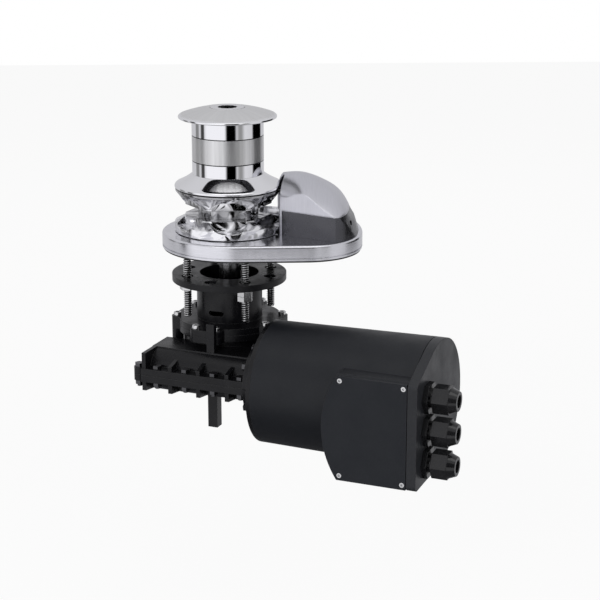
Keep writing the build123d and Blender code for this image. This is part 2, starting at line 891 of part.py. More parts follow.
with BuildPart() as stripper_screw:
    with BuildSketch(Plane.XY.offset(stripper_bottom + stripper_thickness)):
        with Locations(stripper_post):
            Circle(m6_head_radius)
    extrude(amount=m6_head_height)
    with BuildSketch(Plane.XY.offset(plate_bottom - m6_nut_height)):
        with Locations(stripper_post):
            Circle(m6_radius)
    extrude(amount=stripper_bottom + stripper_thickness - plate_bottom + m6_nut_height)
save(stripper_screw, "stripper_screw")

# Pressure lever: swings on its pin and keeps the chain in the pockets
with BuildPart() as pressure_lever:
    with BuildSketch(Plane.XY.offset(stripper_bottom)):
        with Locations(lever_pivot):
            Circle(lever_boss_radius)
        with Locations(lever_nose):
            Circle(lever_nose_radius)
        make_hull()
        with Locations(lever_pivot):
            Circle(lever_pin_radius + running_gap, mode=Mode.SUBTRACT)
    extrude(amount=stripper_thickness)
save(pressure_lever, "pressure_lever")

with BuildPart() as lever_pin:
    with BuildSketch(Plane.XY.offset(plate_bottom)):
        with Locations(lever_pivot):
            Circle(lever_pin_radius)
    extrude(amount=stripper_bottom + stripper_thickness + seat_gap - plate_bottom)
    with BuildSketch(Plane.XY.offset(stripper_bottom + stripper_thickness + seat_gap)):
        with Locations(lever_pivot):
            Circle(lever_pin_head)
    extrude(amount=key_stand)
save(lever_pin, "lever_pin")

# Coil spring round the pin, drawn as the sleeve that its coils fill
with BuildPart() as lever_spring:
    with BuildSketch(Plane.XY.offset(base_top)):
        with Locations(lever_pivot):
            Circle(lever_pin_radius + close_fit + spring_wire)
            Circle(lever_pin_radius + close_fit, mode=Mode.SUBTRACT)
    extrude(amount=stripper_bottom - base_top - seat_gap)
save(lever_spring, "lever_spring")

# Tower: the ring under the deck, its neck with drain windows, and the lobed foot
with BuildPart() as tower:
    with BuildSketch(drive.offset(ring_bottom)):
        Circle(ring_radius)
    extrude(amount=ring_thickness)
    with BuildSketch(drive.offset(neck_bottom)):
        Circle(neck_radius)
    extrude(amount=ring_bottom - neck_bottom)
    with BuildSketch(drive.offset(foot_bottom)):
        foot_plan()
    extrude(amount=tower_foot)
    with BuildSketch(drive.offset(foot_bottom)):
        with Locations((tab_offset, -(tab_inner + tab_outer) / 2)):
            Rectangle(tab_width, tab_outer - tab_inner)
    extrude(amount=tab_top - foot_bottom)
    with BuildSketch(drive.offset(foot_bottom)):
        Circle(neck_bore)
    extrude(amount=ring_top - foot_bottom, mode=Mode.SUBTRACT)
    with BuildSketch(drive.offset(ring_bottom)):
        with PolarLocations(stud_circle / 2, 8):
            Circle(stud_hole_radius)
    extrude(amount=ring_thickness, mode=Mode.SUBTRACT)
    with BuildSketch(drive.offset(foot_bottom)):
        with Locations(*foot_screw_places()):
            Circle(m6_radius + seat_gap)
    extrude(amount=tower_foot, mode=Mode.SUBTRACT)
    with BuildSketch(front):
        with Locations((0, window_centre)):
            SlotOverall(window_length, window_height)
    extrude(amount=neck_radius, both=True, mode=Mode.SUBTRACT)
save(tower, "tower")

with BuildPart() as tower_screws:
    with BuildSketch(drive.offset(neck_bottom)):
        with Locations(*foot_screw_places()):
            Circle(m6_head_radius)
    extrude(amount=m6_head_height)
    with BuildSketch(drive.offset(flange_bottom + close_fit)):
        with Locations(*foot_screw_places()):
            Circle(m6_radius)
    extrude(amount=neck_bottom - flange_bottom - close_fit)
save(tower_screws, "tower_screws")

# Gearcase: wheel housing, worm barrel, ribbed split band, end flange and foot pillar
with BuildPart() as gearcase:
    with BuildSketch(drive.offset(flange_bottom)):
        foot_plan()
    extrude(amount=case_flange)
    with BuildSketch(drive.offset(foot_bottom)):
        Circle(neck_bore - seat_gap)
    extrude(amount=spigot_height)
    with BuildSketch(drive.offset(housing_floor)):
        Circle(housing_radius)
    extrude(amount=housing_top - housing_floor)
    with BuildSketch(drive.offset(housing_top)):
        Circle(bell_radius)
        with Locations(*foot_screw_places()[::2]):
            Circle(foot_lug_radius)
    extrude(amount=flange_bottom - housing_top)
    with BuildSketch(drive.offset(boss_bottom)):
        Circle(boss_radius)
    extrude(amount=housing_floor - boss_bottom)
    with BuildSketch(drive.offset(axis_height)):
        with Locations(
            ((tunnel_left + adapter_start) / 2, -(plateau_back + plateau_front) / 2)
        ):
            Rectangle(adapter_start - tunnel_left, plateau_front - plateau_back)
    extrude(amount=plateau_height - axis_height)
    with BuildSketch(drive.offset(plateau_height)):
        with Locations((tab_offset, -(tab_inner + tab_outer) / 2)):
            Rectangle(tab_width, tab_outer - tab_inner)
    extrude(amount=foot_bottom - plateau_height)
    with BuildSketch(motor_across.offset(tunnel_left)):
        Circle(barrel_radius)
    extrude(amount=adapter_start - tunnel_left)
    with BuildSketch(motor_across.offset(adapter_start - end_flange_length)):
        Circle(end_flange_radius)
    extrude(amount=end_flange_length)
    with BuildSketch(drive.offset(axis_height - band_half)):
        band_plan()
    extrude(amount=2 * band_half)
    for place in rib_places:
        end_rib = place == rib_places[0]
        with BuildSketch(side.offset(place - case_rib / 2)):
            Polygon(
                (-plateau_front, plateau_height if end_rib else rib_back),
                (-rib_front, plateau_height if end_rib else rib_top),
                (-rib_front, rib_foot),
                (-plateau_front, axis_height - barrel_radius + band_half / 2),
                (-centre_distance, axis_height),
                align=None,
            )
        extrude(amount=case_rib)
    with BuildSketch(drive.offset(pillar_bottom)):
        with Locations((pillar_place[0], -pillar_place[1])):
            Rectangle(pillar_width, pillar_width)
    extrude(amount=housing_floor - pillar_bottom)
    with BuildSketch(drive.offset(axis_height - chamber_half)):
        Circle(chamber_radius)
    extrude(amount=2 * chamber_half, mode=Mode.SUBTRACT)
    with BuildSketch(drive.offset(axis_height - chamber_half - bearing_height)):
        Circle(bearing_radius + close_fit)
    extrude(amount=2 * (chamber_half + bearing_height), mode=Mode.SUBTRACT)
    with BuildSketch(drive.offset(shaft_bottom - key_stand)):
        Circle(shaft_radius + 5 * seat_gap)
    extrude(amount=foot_bottom + spigot_height - shaft_bottom + key_stand, mode=Mode.SUBTRACT)
    with BuildSketch(drive.offset(foot_bottom + spigot_height - seal_height)):
        Circle(seal_radius + close_fit)
    extrude(amount=seal_height, mode=Mode.SUBTRACT)
    with BuildSketch(motor_across.offset(tunnel_left)):
        Circle(worm_left_bearing[0] + close_fit)
    extrude(amount=adapter_start - tunnel_left, mode=Mode.SUBTRACT)
    with BuildSketch(motor_across.offset(worm_seat_left + worm_left_bearing[1])):
        Circle(tunnel_radius + close_fit)
    extrude(amount=adapter_start - worm_seat_left, mode=Mode.SUBTRACT)
    with BuildSketch(drive.offset(axis_height - band_half)):
        with Locations(*case_bolt_places()):
            Circle(m6_radius + seat_gap)
    extrude(amount=2 * band_half, mode=Mode.SUBTRACT)
    with BuildSketch(drive.offset(flange_bottom)):
        with Locations(*foot_screw_places()):
            Circle(m6_radius + close_fit)
    extrude(amount=case_flange, mode=Mode.SUBTRACT)
    with BuildSketch(motor_across.offset(adapter_start - end_flange_length)):
        for angle in adapter_screw_angles:
            with PolarLocations(adapter_screw_circle, 1, start_angle=angle):
                Circle(m6_radius + seat_gap)
    extrude(amount=end_flange_length, mode=Mode.SUBTRACT)
    with BuildSketch(motor_across.offset(tunnel_left)):
        with PolarLocations(end_screw_circle, end_cover_screws, start_angle=45):
            Circle(m4_radius + close_fit)
    extrude(amount=worm_left_bearing[1], mode=Mode.SUBTRACT)

with BuildPart() as gearcase_upper:
    add(gearcase.part)
    split(bisect_by=drive.offset(axis_height + case_gasket / 2), keep=Keep.TOP)
save(gearcase_upper, "gearcase_upper")

with BuildPart() as gearcase_lower:
    add(gearcase.part)
    split(bisect_by=drive.offset(axis_height - case_gasket / 2), keep=Keep.BOTTOM)
save(gearcase_lower, "gearcase_lower")

# Gasket cut to the split face of the gearcase
with BuildPart() as gearcase_gasket:
    with BuildSketch(drive.offset(axis_height - case_gasket / 2)):
        band_plan()
        Circle(chamber_radius, mode=Mode.SUBTRACT)
        with Locations(((tunnel_left + adapter_start) / 2, -centre_distance)):
            Rectangle(adapter_start - tunnel_left, 2 * tunnel_radius, mode=Mode.SUBTRACT)
        with Locations(*case_bolt_places()):
            Circle(m6_radius + seat_gap, mode=Mode.SUBTRACT)
    extrude(amount=case_gasket)
save(gearcase_gasket, "gearcase_gasket")

with BuildPart() as gearcase_bolts:
    with BuildSketch(drive.offset(axis_height + band_half)):
        with Locations(*case_bolt_places()):
            RegularPolygon(m6_head_radius, 6, major_radius=False)
    extrude(amount=m6_head_height)
    with BuildSketch(drive.offset(axis_height - band_half - m6_nut_height - key_stand)):
        with Locations(*case_bolt_places()):
            Circle(m6_radius)
    extrude(amount=2 * band_half + m6_nut_height + key_stand)
save(gearcase_bolts, "gearcase_bolts")

with BuildPart() as gearcase_nuts:
    with BuildSketch(drive.offset(axis_height - band_half - m6_nut_height)):
        with Locations(*case_bolt_places()):
            RegularPolygon(m6_head_radius, 6, major_radius=False)
            Circle(m6_radius + close_fit, mode=Mode.SUBTRACT)
    extrude(amount=m6_nut_height)
save(gearcase_nuts, "gearcase_nuts")

# Worm wheel: straight-flanked teeth on a slight helix, with a webbed hub
tooth_half = (pi * gear_module / 2 - backlash) / 2
slope = tan(radians(flank_angle))
tip_half = tooth_half - addendum * slope
root_half = tooth_half + dedendum * slope
helix_swing = degrees(wheel_face / 2 * worm_lead / (2 * pi * worm_pitch_radius) / wheel_pitch_radius)


def wheel_outline(swing):
    """Outline of the worm wheel, turned by a swing in degrees from a tooth facing the worm."""
    points = []
    for tooth in range(wheel_teeth):
        facing = radians(swing - 90) + 2 * pi * tooth / wheel_teeth
        for half, radius in (
            (-root_half, wheel_pitch_radius - dedendum),
            (-tip_half, wheel_pitch_radius + addendum),
            (tip_half, wheel_pitch_radius + addendum),
            (root_half, wheel_pitch_radius - dedendum),
        ):
            points.append((radius * cos(facing + half / radius), radius * sin(facing + half / radius)))
    Polygon(*points, align=None)


with BuildPart() as worm_wheel:
    with BuildSketch(drive.offset(axis_height - wheel_face / 2)):
        wheel_outline(-helix_swing)
    with BuildSketch(drive.offset(axis_height + wheel_face / 2)):
        wheel_outline(helix_swing)
    loft(ruled=True)
    for height in (axis_height - wheel_face / 2, axis_height + wheel_web / 2):
        with BuildSketch(drive.offset(height)):
            Circle(wheel_rim_radius)
            Circle(wheel_hub_radius, mode=Mode.SUBTRACT)
        extrude(amount=(wheel_face - wheel_web) / 2, mode=Mode.SUBTRACT)
    with BuildSketch(drive.offset(axis_height - chamber_half + seat_gap)):
        Circle(wheel_hub_radius)
    extrude(amount=2 * (chamber_half - seat_gap))
    with BuildSketch(drive.offset(axis_height - chamber_half)):
        Circle(shaft_radius + close_fit)
        with Locations((shaft_radius, 0)):
            Rectangle(2 * (key_stand + close_fit), key_width + 2 * close_fit)
    extrude(amount=2 * chamber_half, mode=Mode.SUBTRACT)
save(worm_wheel, "worm_wheel")

# Worm shaft: a single right-hand thread between two journals
with BuildPart() as worm_thread:
    with BuildLine() as coil:
        helix = Helix(
            worm_lead,
            worm_turns * worm_lead,
            worm_pitch_radius,
            center=(0, 0, -worm_turns * worm_lead / 2),
        )
    with BuildSketch(Plane(origin=helix @ 0, x_dir=(1, 0, 0), z_dir=helix % 0)):
        Polygon(
            (-dedendum - seat_gap, -root_half),
            (-dedendum, -root_half),
            (addendum, -tip_half),
            (addendum, tip_half),
            (-dedendum, root_half),
            (-dedendum - seat_gap, root_half),
            align=None,
        )
    sweep(path=coil.wires()[0], is_frenet=True)

with BuildPart() as worm_shaft:
    with BuildSketch(motor_side):
        ring_profile(
            (
                (worm_seat_left, 0),
                (worm_seat_left, worm_journal),
                (worm_core_left, worm_journal),
                (worm_core_left, worm_pitch_radius - dedendum),
                (worm_core_right, worm_pitch_radius - dedendum),
                (worm_core_right, worm_right_journal),
                (worm_core_right + worm_right_bearing[1], worm_right_journal),
                (worm_core_right + worm_right_bearing[1], motor_shaft_radius),
                (shaft_joint, motor_shaft_radius),
                (shaft_joint, 0),
            )
        )
    revolve(axis=motor_axis)
    add(worm_thread.part.moved(motor_across.location))
save(worm_shaft, "worm_shaft")

with BuildPart() as worm_bearings:
    for start, journal, (outer, width) in (
        (worm_seat_left, worm_journal, worm_left_bearing),
        (worm_core_right + seat_gap, worm_right_journal, worm_right_bearing),
    ):
        with BuildSketch(motor_across.offset(start)):
            Circle(outer)
            Circle(journal + running_gap, mode=Mode.SUBTRACT)
        extrude(amount=width - seat_gap)
save(worm_bearings, "worm_bearings")

with BuildPart() as worm_end_cover:
    with BuildSketch(motor_across.offset(tunnel_left - end_cover_thickness)):
        Circle(end_cover_radius)
        with PolarLocations(end_screw_circle, end_cover_screws, start_angle=45):
            Circle(m4_radius + close_fit, mode=Mode.SUBTRACT)
    extrude(amount=end_cover_thickness)
save(worm_end_cover, "worm_end_cover")

with BuildPart() as worm_cover_screws:
    with BuildSketch(motor_across.offset(tunnel_left - end_cover_thickness - key_stand)):
        with PolarLocations(end_screw_circle, end_cover_screws, start_angle=45):
            Circle(m4_head_radius)
    extrude(amount=key_stand)
    with BuildSketch(motor_across.offset(tunnel_left - end_cover_thickness)):
        with PolarLocations(end_screw_circle, end_cover_screws, start_angle=45):
            Circle(m4_radius)
    extrude(amount=end_cover_thickness + worm_left_bearing[1] - seat_gap)
save(worm_cover_screws, "worm_cover_screws")

# Ball bearings of the main shaft, above and below the worm wheel
with BuildPart() as shaft_bearings:
    for start in (axis_height - chamber_half - bearing_height, axis_height + chamber_half):
        with BuildSketch(drive.offset(start)):
            Circle(bearing_radius)
            Circle(shaft_radius + running_gap, mode=Mode.SUBTRACT)
        extrude(amount=bearing_height)
save(shaft_bearings, "shaft_bearings")

with BuildPart() as gearbox_seal:
    with BuildSketch(drive.offset(foot_bottom + spigot_height - seal_height)):
        Circle(seal_radius)
        Circle(shaft_radius + running_gap, mode=Mode.SUBTRACT)
    extrude(amount=seal_height)
save(gearbox_seal, "gearbox_seal")

# Adapter: coned front flange of the motor, with the front bearing seat
bearing_seat = adapter_end - motor_bearing[1] + end_cover_thickness
with BuildPart() as motor_adapter:
    with BuildSketch(motor_side):
        ring_profile(
            (
                (adapter_start, coupling_radius + seat_gap * 4),
                (adapter_start, end_flange_radius),
                (adapter_end - case_rib, casing_front_radius),
                (adapter_end, casing_front_radius),
                (adapter_end, yoke_radius),
                (adapter_end + case_rib, yoke_radius),
                (adapter_end + case_rib, yoke_radius - yoke_wall),
                (adapter_end - case_rib, yoke_radius - 2 * yoke_wall),
                (adapter_end - case_rib, bearing_radius),
                (bearing_seat + motor_bearing[1], bearing_radius),
                (bearing_seat + motor_bearing[1], motor_bearing[0] + close_fit),
                (bearing_seat, motor_bearing[0] + close_fit),
                (bearing_seat, coupling_radius + seat_gap * 4),
            )
        )
    revolve(axis=motor_axis)
    with BuildSketch(motor_across.offset(adapter_start)):
        for angle in adapter_screw_angles:
            with PolarLocations(adapter_screw_circle, 1, start_angle=angle):
                Circle(m6_radius + close_fit)
    extrude(amount=case_flange, mode=Mode.SUBTRACT)
save(motor_adapter, "motor_adapter")

with BuildPart() as adapter_screws:
    with BuildSketch(motor_across.offset(adapter_start - end_flange_length - m6_head_height)):
        for angle in adapter_screw_angles:
            with PolarLocations(adapter_screw_circle, 1, start_angle=angle):
                RegularPolygon(m6_head_radius, 6, major_radius=False)
    extrude(amount=m6_head_height)
    with BuildSketch(motor_across.offset(adapter_start - end_flange_length)):
        for angle in adapter_screw_angles:
            with PolarLocations(adapter_screw_circle, 1, start_angle=angle):
                Circle(m6_radius)
    extrude(amount=end_flange_length + case_flange - seat_gap)
save(adapter_screws, "adapter_screws")

# Coupling sleeve between worm shaft and motor shaft
with BuildPart() as shaft_coupling:
    with BuildSketch(motor_across.offset(worm_core_right + worm_right_bearing[1] + key_stand)):
        Circle(coupling_radius)
        Circle(motor_shaft_radius + close_fit, mode=Mode.SUBTRACT)
    extrude(amount=2 * (shaft_joint - worm_core_right - worm_right_bearing[1] - key_stand))
save(shaft_coupling, "shaft_coupling")

# Motor casing: a slightly coned tube that grows into the terminal box
box_loft_start = box_left - box_corner
box_start_radius = casing_front_radius + (casing_rear_radius - casing_front_radius) * (
    box_loft_start - adapter_end
) / (casing_end - adapter_end)
with BuildPart() as casing_box:
    with BuildSketch(motor_across.offset(box_loft_start)):
        casing_section(box_start_radius, box_front, 0)
    with BuildSketch(motor_across.offset(casing_end)):
        casing_section(casing_rear_radius, box_front, 0)
    loft()
    with BuildSketch(front):
        box_front_view(box_left, 0, casing_end)
    extrude(amount=centre_distance + box_front, mode=Mode.INTERSECT)

with BuildPart() as casing_void:
    with BuildSketch(motor_across.offset(box_left)):
        casing_section(casing_front_radius, box_front, casing_wall)
    extrude(amount=casing_end - box_left)
    with BuildSketch(front):
        box_front_view(box_left + casing_wall, casing_wall, casing_end)
    extrude(amount=centre_distance + box_front, mode=Mode.INTERSECT)
    with BuildSketch(motor_across.offset(adapter_end)):
        Circle(yoke_radius + seat_gap)
    extrude(amount=casing_end - adapter_end)
    with BuildSketch(front.offset(centre_distance + box_front - 2 * casing_wall)):
        box_front_view(box_left + lid_opening_margin, lid_opening_margin, lid_opening_right)
    extrude(amount=2 * casing_wall)
    with BuildSketch(front.offset(centre_distance + box_front - 2 * casing_wall)):
        with Locations(*lid_screw_places):
            Circle(m4_radius + close_fit)
    extrude(amount=2 * casing_wall)

with BuildPart() as motor_casing:
    with BuildSketch(motor_side):
        Polygon(
            (adapter_end, 0),
            (adapter_end, casing_front_radius),
            (casing_end, casing_rear_radius),
            (casing_end, 0),
            align=None,
        )
    revolve(axis=motor_axis)
    add(casing_box.part)
    add(casing_void.part, mode=Mode.SUBTRACT)
save(motor_casing, "motor_casing")

# Rear cover: a shallow cup flush with the lid, bonded over its gasket
with BuildPart() as rear_cover:
    with BuildSketch(motor_across.offset(cover_start)):
        casing_section(casing_rear_radius, lid_face, 0)
    extrude(amount=rear_end - cover_start)
    with BuildSketch(motor_across.offset(cover_start)):
        casing_section(casing_front_radius, box_front, casing_wall)
    extrude(amount=rear_end - cover_start - rear_plate, mode=Mode.SUBTRACT)
    with BuildSketch(motor_across.offset(rear_end - rear_plate)):
        with Locations(*gland_places):
            Circle(gland_thread_radius + close_fit)
    extrude(amount=rear_plate, mode=Mode.SUBTRACT)
save(rear_cover, "rear_cover")

with BuildPart() as rear_cover_gasket:
    with BuildSketch(motor_across.offset(casing_end)):
        casing_section(casing_front_radius, box_front, close_fit)
    extrude(amount=rear_gasket)
    with BuildSketch(motor_across.offset(casing_end)):
        casing_section(casing_front_radius, box_front, casing_wall)
    extrude(amount=rear_gasket, mode=Mode.SUBTRACT)
save(rear_cover_gasket, "rear_cover_gasket")

# Lid of the terminal box on its gasket, held by four screws
lid_base = centre_distance + box_front + lid_gasket_thickness
with BuildPart() as terminal_lid:
    with BuildSketch(front.offset(lid_base)):
        box_front_view(box_left + lid_margin, lid_margin, casing_end)
        with Locations(*lid_screw_places):
            Circle(m4_radius + close_fit, mode=Mode.SUBTRACT)
    extrude(amount=lid_thickness)
    with BuildSketch(front.offset(lid_base + lid_thickness - lid_head_depth)):
        with Locations(*lid_screw_places):
            Circle(lid_screw_head + close_fit)
    extrude(amount=lid_head_depth, mode=Mode.SUBTRACT)
save(terminal_lid, "terminal_lid")

with BuildPart() as lid_gasket:
    with BuildSketch(front.offset(centre_distance + box_front)):
        box_front_view(box_left + 2 * lid_margin, 2 * lid_margin, casing_end - lid_margin)
        with Locations(*lid_screw_places):
            Circle(m4_radius + close_fit, mode=Mode.SUBTRACT)
    extrude(amount=lid_gasket_thickness)
    with BuildSketch(front.offset(centre_distance + box_front)):
        box_front_view(box_left + lid_opening_margin, lid_opening_margin, lid_opening_right)
    extrude(amount=lid_gasket_thickness, mode=Mode.SUBTRACT)
save(lid_gasket, "lid_gasket")

with BuildPart() as lid_screws:
    with BuildSketch(front.offset(lid_base + lid_thickness - lid_head_depth)):
        with Locations(*lid_screw_places):
            Circle(lid_screw_head)
    extrude(amount=lid_head_depth)
    with BuildSketch(front.offset(centre_distance + box_front - casing_wall)):
        with Locations(*lid_screw_places):
            Circle(m4_radius)
    extrude(amount=casing_wall + lid_gasket_thickness + lid_thickness - lid_head_depth)
save(lid_screws, "lid_screws")

# Steel pole housing and the four magnets inside it
with BuildPart() as pole_housing:
    with BuildSketch(motor_across.offset(adapter_end + case_rib + seat_gap)):
        Circle(yoke_radius)
        Circle(yoke_radius - yoke_wall, mode=Mode.SUBTRACT)
    extrude(amount=yoke_end - adapter_end - case_rib - seat_gap)
save(pole_housing, "pole_housing")

magnet_outer = yoke_radius - yoke_wall - close_fit
with BuildPart() as field_magnets:
    with BuildSketch(motor_across.offset(armature_start)):
        for pole in range(4):
            facing = 90 * pole - magnet_arc / 2
            with BuildLine() as sector:
                outer_edge = CenterArc((0, 0), magnet_outer, facing, magnet_arc)
                inner_edge = CenterArc((0, 0), magnet_outer - magnet_thickness, facing, magnet_arc)
                Line(outer_edge @ 0, inner_edge @ 0)
                Line(outer_edge @ 1, inner_edge @ 1)
            make_face()
    extrude(amount=armature_end - armature_start)
save(field_magnets, "field_magnets")

# Armature: slotted core on the motor shaft, with its commutator
with BuildPart() as armature:
    with BuildSketch(motor_across.offset(armature_start)):
        Circle(armature_radius)
        with PolarLocations(armature_radius, armature_slots):
            Rectangle(2 * slot_depth, slot_width, mode=Mode.SUBTRACT)
    extrude(amount=armature_end - armature_start)
    with BuildSketch(motor_across.offset(shaft_joint + seat_gap)):
        Circle(motor_shaft_radius)
    extrude(amount=shield_end - shaft_joint - 2 * seat_gap)
save(armature, "armature")

commutator_start = armature_end + case_rib
with BuildPart() as commutator:
    with BuildSketch(motor_across.offset(commutator_start)):
        Circle(commutator_radius)
        Circle(motor_shaft_radius + close_fit, mode=Mode.SUBTRACT)
    extrude(amount=commutator_length)
save(commutator, "commutator")

# Carbon brushes above and below the commutator, in their holder
brush_middle = commutator_start + commutator_length / 2
with BuildPart() as brushes:
    for way in (-1, 1):
        with BuildSketch(motor_side.offset(-brush_size[0] / 2)):
            with Locations(
                (brush_middle, way * (commutator_radius + seat_gap + brush_size[2] / 2))
            ):
                Rectangle(brush_size[1], brush_size[2])
        extrude(amount=brush_size[0])
save(brushes, "brushes")

with BuildPart() as brush_holder:
    with BuildSketch(motor_across.offset(yoke_end - case_rib)):
        Circle(armature_radius)
        Circle(commutator_radius + key_stand, mode=Mode.SUBTRACT)
    extrude(amount=case_rib)
    for way in (-1, 1):
        with BuildSketch(motor_side.offset(-brush_size[0] / 2 - key_stand)):
            with Locations(
                (
                    brush_middle + key_stand / 2,
                    way * (commutator_radius + key_stand + brush_size[2] / 2),
                )
            ):
                Rectangle(brush_size[1] + 3 * key_stand, brush_size[2])
        extrude(amount=brush_size[0] + 2 * key_stand)
        with BuildSketch(motor_side.offset(-brush_size[0] / 2 - close_fit)):
            with Locations(
                (brush_middle, way * (commutator_radius + brush_size[2] / 2 + key_stand))
            ):
                Rectangle(brush_size[1] + 2 * close_fit, brush_size[2] + 2 * key_stand)
        extrude(amount=brush_size[0] + 2 * close_fit, mode=Mode.SUBTRACT)
save(brush_holder, "brush_holder")

with BuildPart() as motor_end_shield:
    with BuildSketch(motor_across.offset(yoke_end)):
        Circle(yoke_radius)
        Circle(motor_bearing[0] + close_fit, mode=Mode.SUBTRACT)
    extrude(amount=end_shield_thickness)
save(motor_end_shield, "motor_end_shield")

with BuildPart() as motor_bearings:
    for start in (bearing_seat, yoke_end):
        with BuildSketch(motor_across.offset(start)):
            Circle(motor_bearing[0])
            Circle(motor_shaft_radius + running_gap, mode=Mode.SUBTRACT)
        extrude(amount=motor_bearing[1])
save(motor_bearings, "motor_bearings")

# Terminal block behind the motor, with a stud for each cable
with BuildPart() as terminal_block:
    with BuildSketch(motor_across.offset(shield_end)):
        with Locations(gland_places[len(gland_places) // 2]):
            Rectangle(block_width, block_height)
    extrude(amount=block_thickness)
save(terminal_block, "terminal_block")

with BuildPart() as terminal_studs:
    with BuildSketch(motor_across.offset(shield_end + block_thickness)):
        with Locations(*gland_places):
            RegularPolygon(terminal_radius + key_stand, 6, major_radius=False)
    extrude(amount=m6_nut_height)
    with BuildSketch(motor_across.offset(shield_end + block_thickness + m6_nut_height)):
        with Locations(*gland_places):
            Circle(terminal_radius)
    extrude(amount=terminal_length)
save(terminal_studs, "terminal_studs")

# Cable glands: body with hex flange, domed nut, rubber seal and a locknut inside
with BuildPart() as gland_bodies:
    with BuildSketch(motor_across.offset(rear_end)):
        with Locations(*gland_places):
            RegularPolygon(gland_flange_across / 2, 6, major_radius=False)
    extrude(amount=gland_flange)
    with BuildSketch(motor_across.offset(rear_end + gland_flange)):
        with Locations(*gland_places):
            Circle(gland_neck_radius)
    extrude(amount=gland_neck_length)
    with BuildSketch(motor_across.offset(rear_end - rear_plate - locknut_thickness)):
        with Locations(*gland_places):
            Circle(gland_thread_radius)
    extrude(amount=rear_plate + locknut_thickness)
    with BuildSketch(motor_across.offset(cover_start)):
        with Locations(*gland_places):
            Circle(gland_mouth_radius)
    extrude(amount=gland_end, mode=Mode.SUBTRACT)
save(gland_bodies, "gland_bodies")

nut_start = rear_end + gland_nut_start
neck_end = rear_end + gland_flange + gland_neck_length
with BuildPart() as gland_nuts:
    with BuildSketch(motor_across.offset(nut_start)):
        with Locations(*gland_places):
            RegularPolygon(gland_nut_across / 2, 6, major_radius=False)
    extrude(amount=gland_nut_hex)
    with BuildSketch(motor_across.offset(nut_start + gland_nut_hex)):
        with Locations(*gland_places):
            Circle(gland_nut_across / 2)
    extrude(amount=rear_end + gland_end - nut_start - gland_nut_hex, taper=gland_dome_taper)
    with BuildSketch(motor_across.offset(nut_start)):
        with Locations(*gland_places):
            Circle(gland_neck_radius + close_fit)
    extrude(amount=neck_end + gland_seal_length + seat_gap - nut_start, mode=Mode.SUBTRACT)
    with BuildSketch(motor_across.offset(nut_start)):
        with Locations(*gland_places):
            Circle(gland_mouth_radius)
    extrude(amount=gland_end, mode=Mode.SUBTRACT)
save(gland_nuts, "gland_nuts")

with BuildPart() as gland_seals:
    with BuildSketch(motor_across.offset(neck_end)):
        with Locations(*gland_places):
            Circle(gland_neck_radius)
            Circle(gland_cable_radius, mode=Mode.SUBTRACT)
    extrude(amount=gland_seal_length)
save(gland_seals, "gland_seals")

with BuildPart() as gland_locknuts:
    with BuildSketch(motor_across.offset(rear_end - rear_plate - locknut_thickness)):
        with Locations(*gland_places):
            RegularPolygon(locknut_across / 2, 6, major_radius=False)
            Circle(gland_thread_radius + close_fit, mode=Mode.SUBTRACT)
    extrude(amount=locknut_thickness)
save(gland_locknuts, "gland_locknuts")
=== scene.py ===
import math

import bmesh
import bpy
from mathutils import Matrix, Vector


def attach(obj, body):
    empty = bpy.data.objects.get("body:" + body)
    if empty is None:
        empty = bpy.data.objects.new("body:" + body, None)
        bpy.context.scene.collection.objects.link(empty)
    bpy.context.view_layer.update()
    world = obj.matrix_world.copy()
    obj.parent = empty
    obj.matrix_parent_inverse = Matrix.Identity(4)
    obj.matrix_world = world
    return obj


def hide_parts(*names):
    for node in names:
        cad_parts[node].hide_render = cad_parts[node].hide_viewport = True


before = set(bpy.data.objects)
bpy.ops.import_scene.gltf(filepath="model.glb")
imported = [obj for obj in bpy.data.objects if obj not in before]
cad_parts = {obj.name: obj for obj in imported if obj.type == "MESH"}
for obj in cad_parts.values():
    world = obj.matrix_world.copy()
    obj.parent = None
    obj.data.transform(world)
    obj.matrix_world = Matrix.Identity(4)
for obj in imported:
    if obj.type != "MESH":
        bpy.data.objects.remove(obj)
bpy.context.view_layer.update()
bpy.ops.object.select_all(action="DESELECT")

# Studio: the windlass hangs over a pale floor in a white surround, as a deck would hold it.
# Dark and grey cards stand round it, and the polished metal mirrors them and a softbox above.
CAMERA_PLACE, CAMERA_TURN = (0, -2.045, 0.5232), (math.pi / 2 - 0.283, 0, -0.043)
SENSOR_WIDTH, LENS = 36, 102.12
FLOOR_HEIGHT, FLOOR_SIZE, FLOOR_GLOW = -0.36, 8, 0.92
TONES_AROUND = (
    (-130, 0.60), (-100, 0.62), (-84, 0.62), (-70, 0.98), (-14, 0.98), (0, 0.80), (60, 0.72),
    (100, 0.62), (134, 0.58),
)
CARDS = (
    ("front_card", 10, 40, 0.0, 0.22), ("grey_card", 40, 34, 0.30, 0.45), ("right_card", 106, 50, 0.0, 0.15),
    ("left_card", -86, 20, 0.06, 0.3), ("rear_card", -112, 22, 0.25, 0.2),
)
CARD_DISTANCE, CARD_FOOT, CARD_TOP = 0.9, -0.18, 0.30
OVERHEAD_TONE, BEHIND_TONE, FLOOR_TONE = (0.66, 0.66, 0.68, 1), (0.60, 0.60, 0.62, 1), (0.14, 0.14, 0.15, 1)
DAYLIGHT = 0.36
LAMPS = (
    ("key_lamp", (-1.2, -1.7, 0.9), 1.2, 20), ("fill_lamp", (1.6, -1.3, 0.7), 1.2, 9),
    ("back_lamp", (0.3, 1.7, 1.4), 1.4, 10),
)
scene = bpy.context.scene
scene.view_settings.view_transform = "Standard"
bpy.ops.object.camera_add(location=CAMERA_PLACE, rotation=CAMERA_TURN)
camera = bpy.context.object
camera.name = "photographer"
camera.data.sensor_width = SENSOR_WIDTH
camera.data.lens = LENS
scene.camera = camera


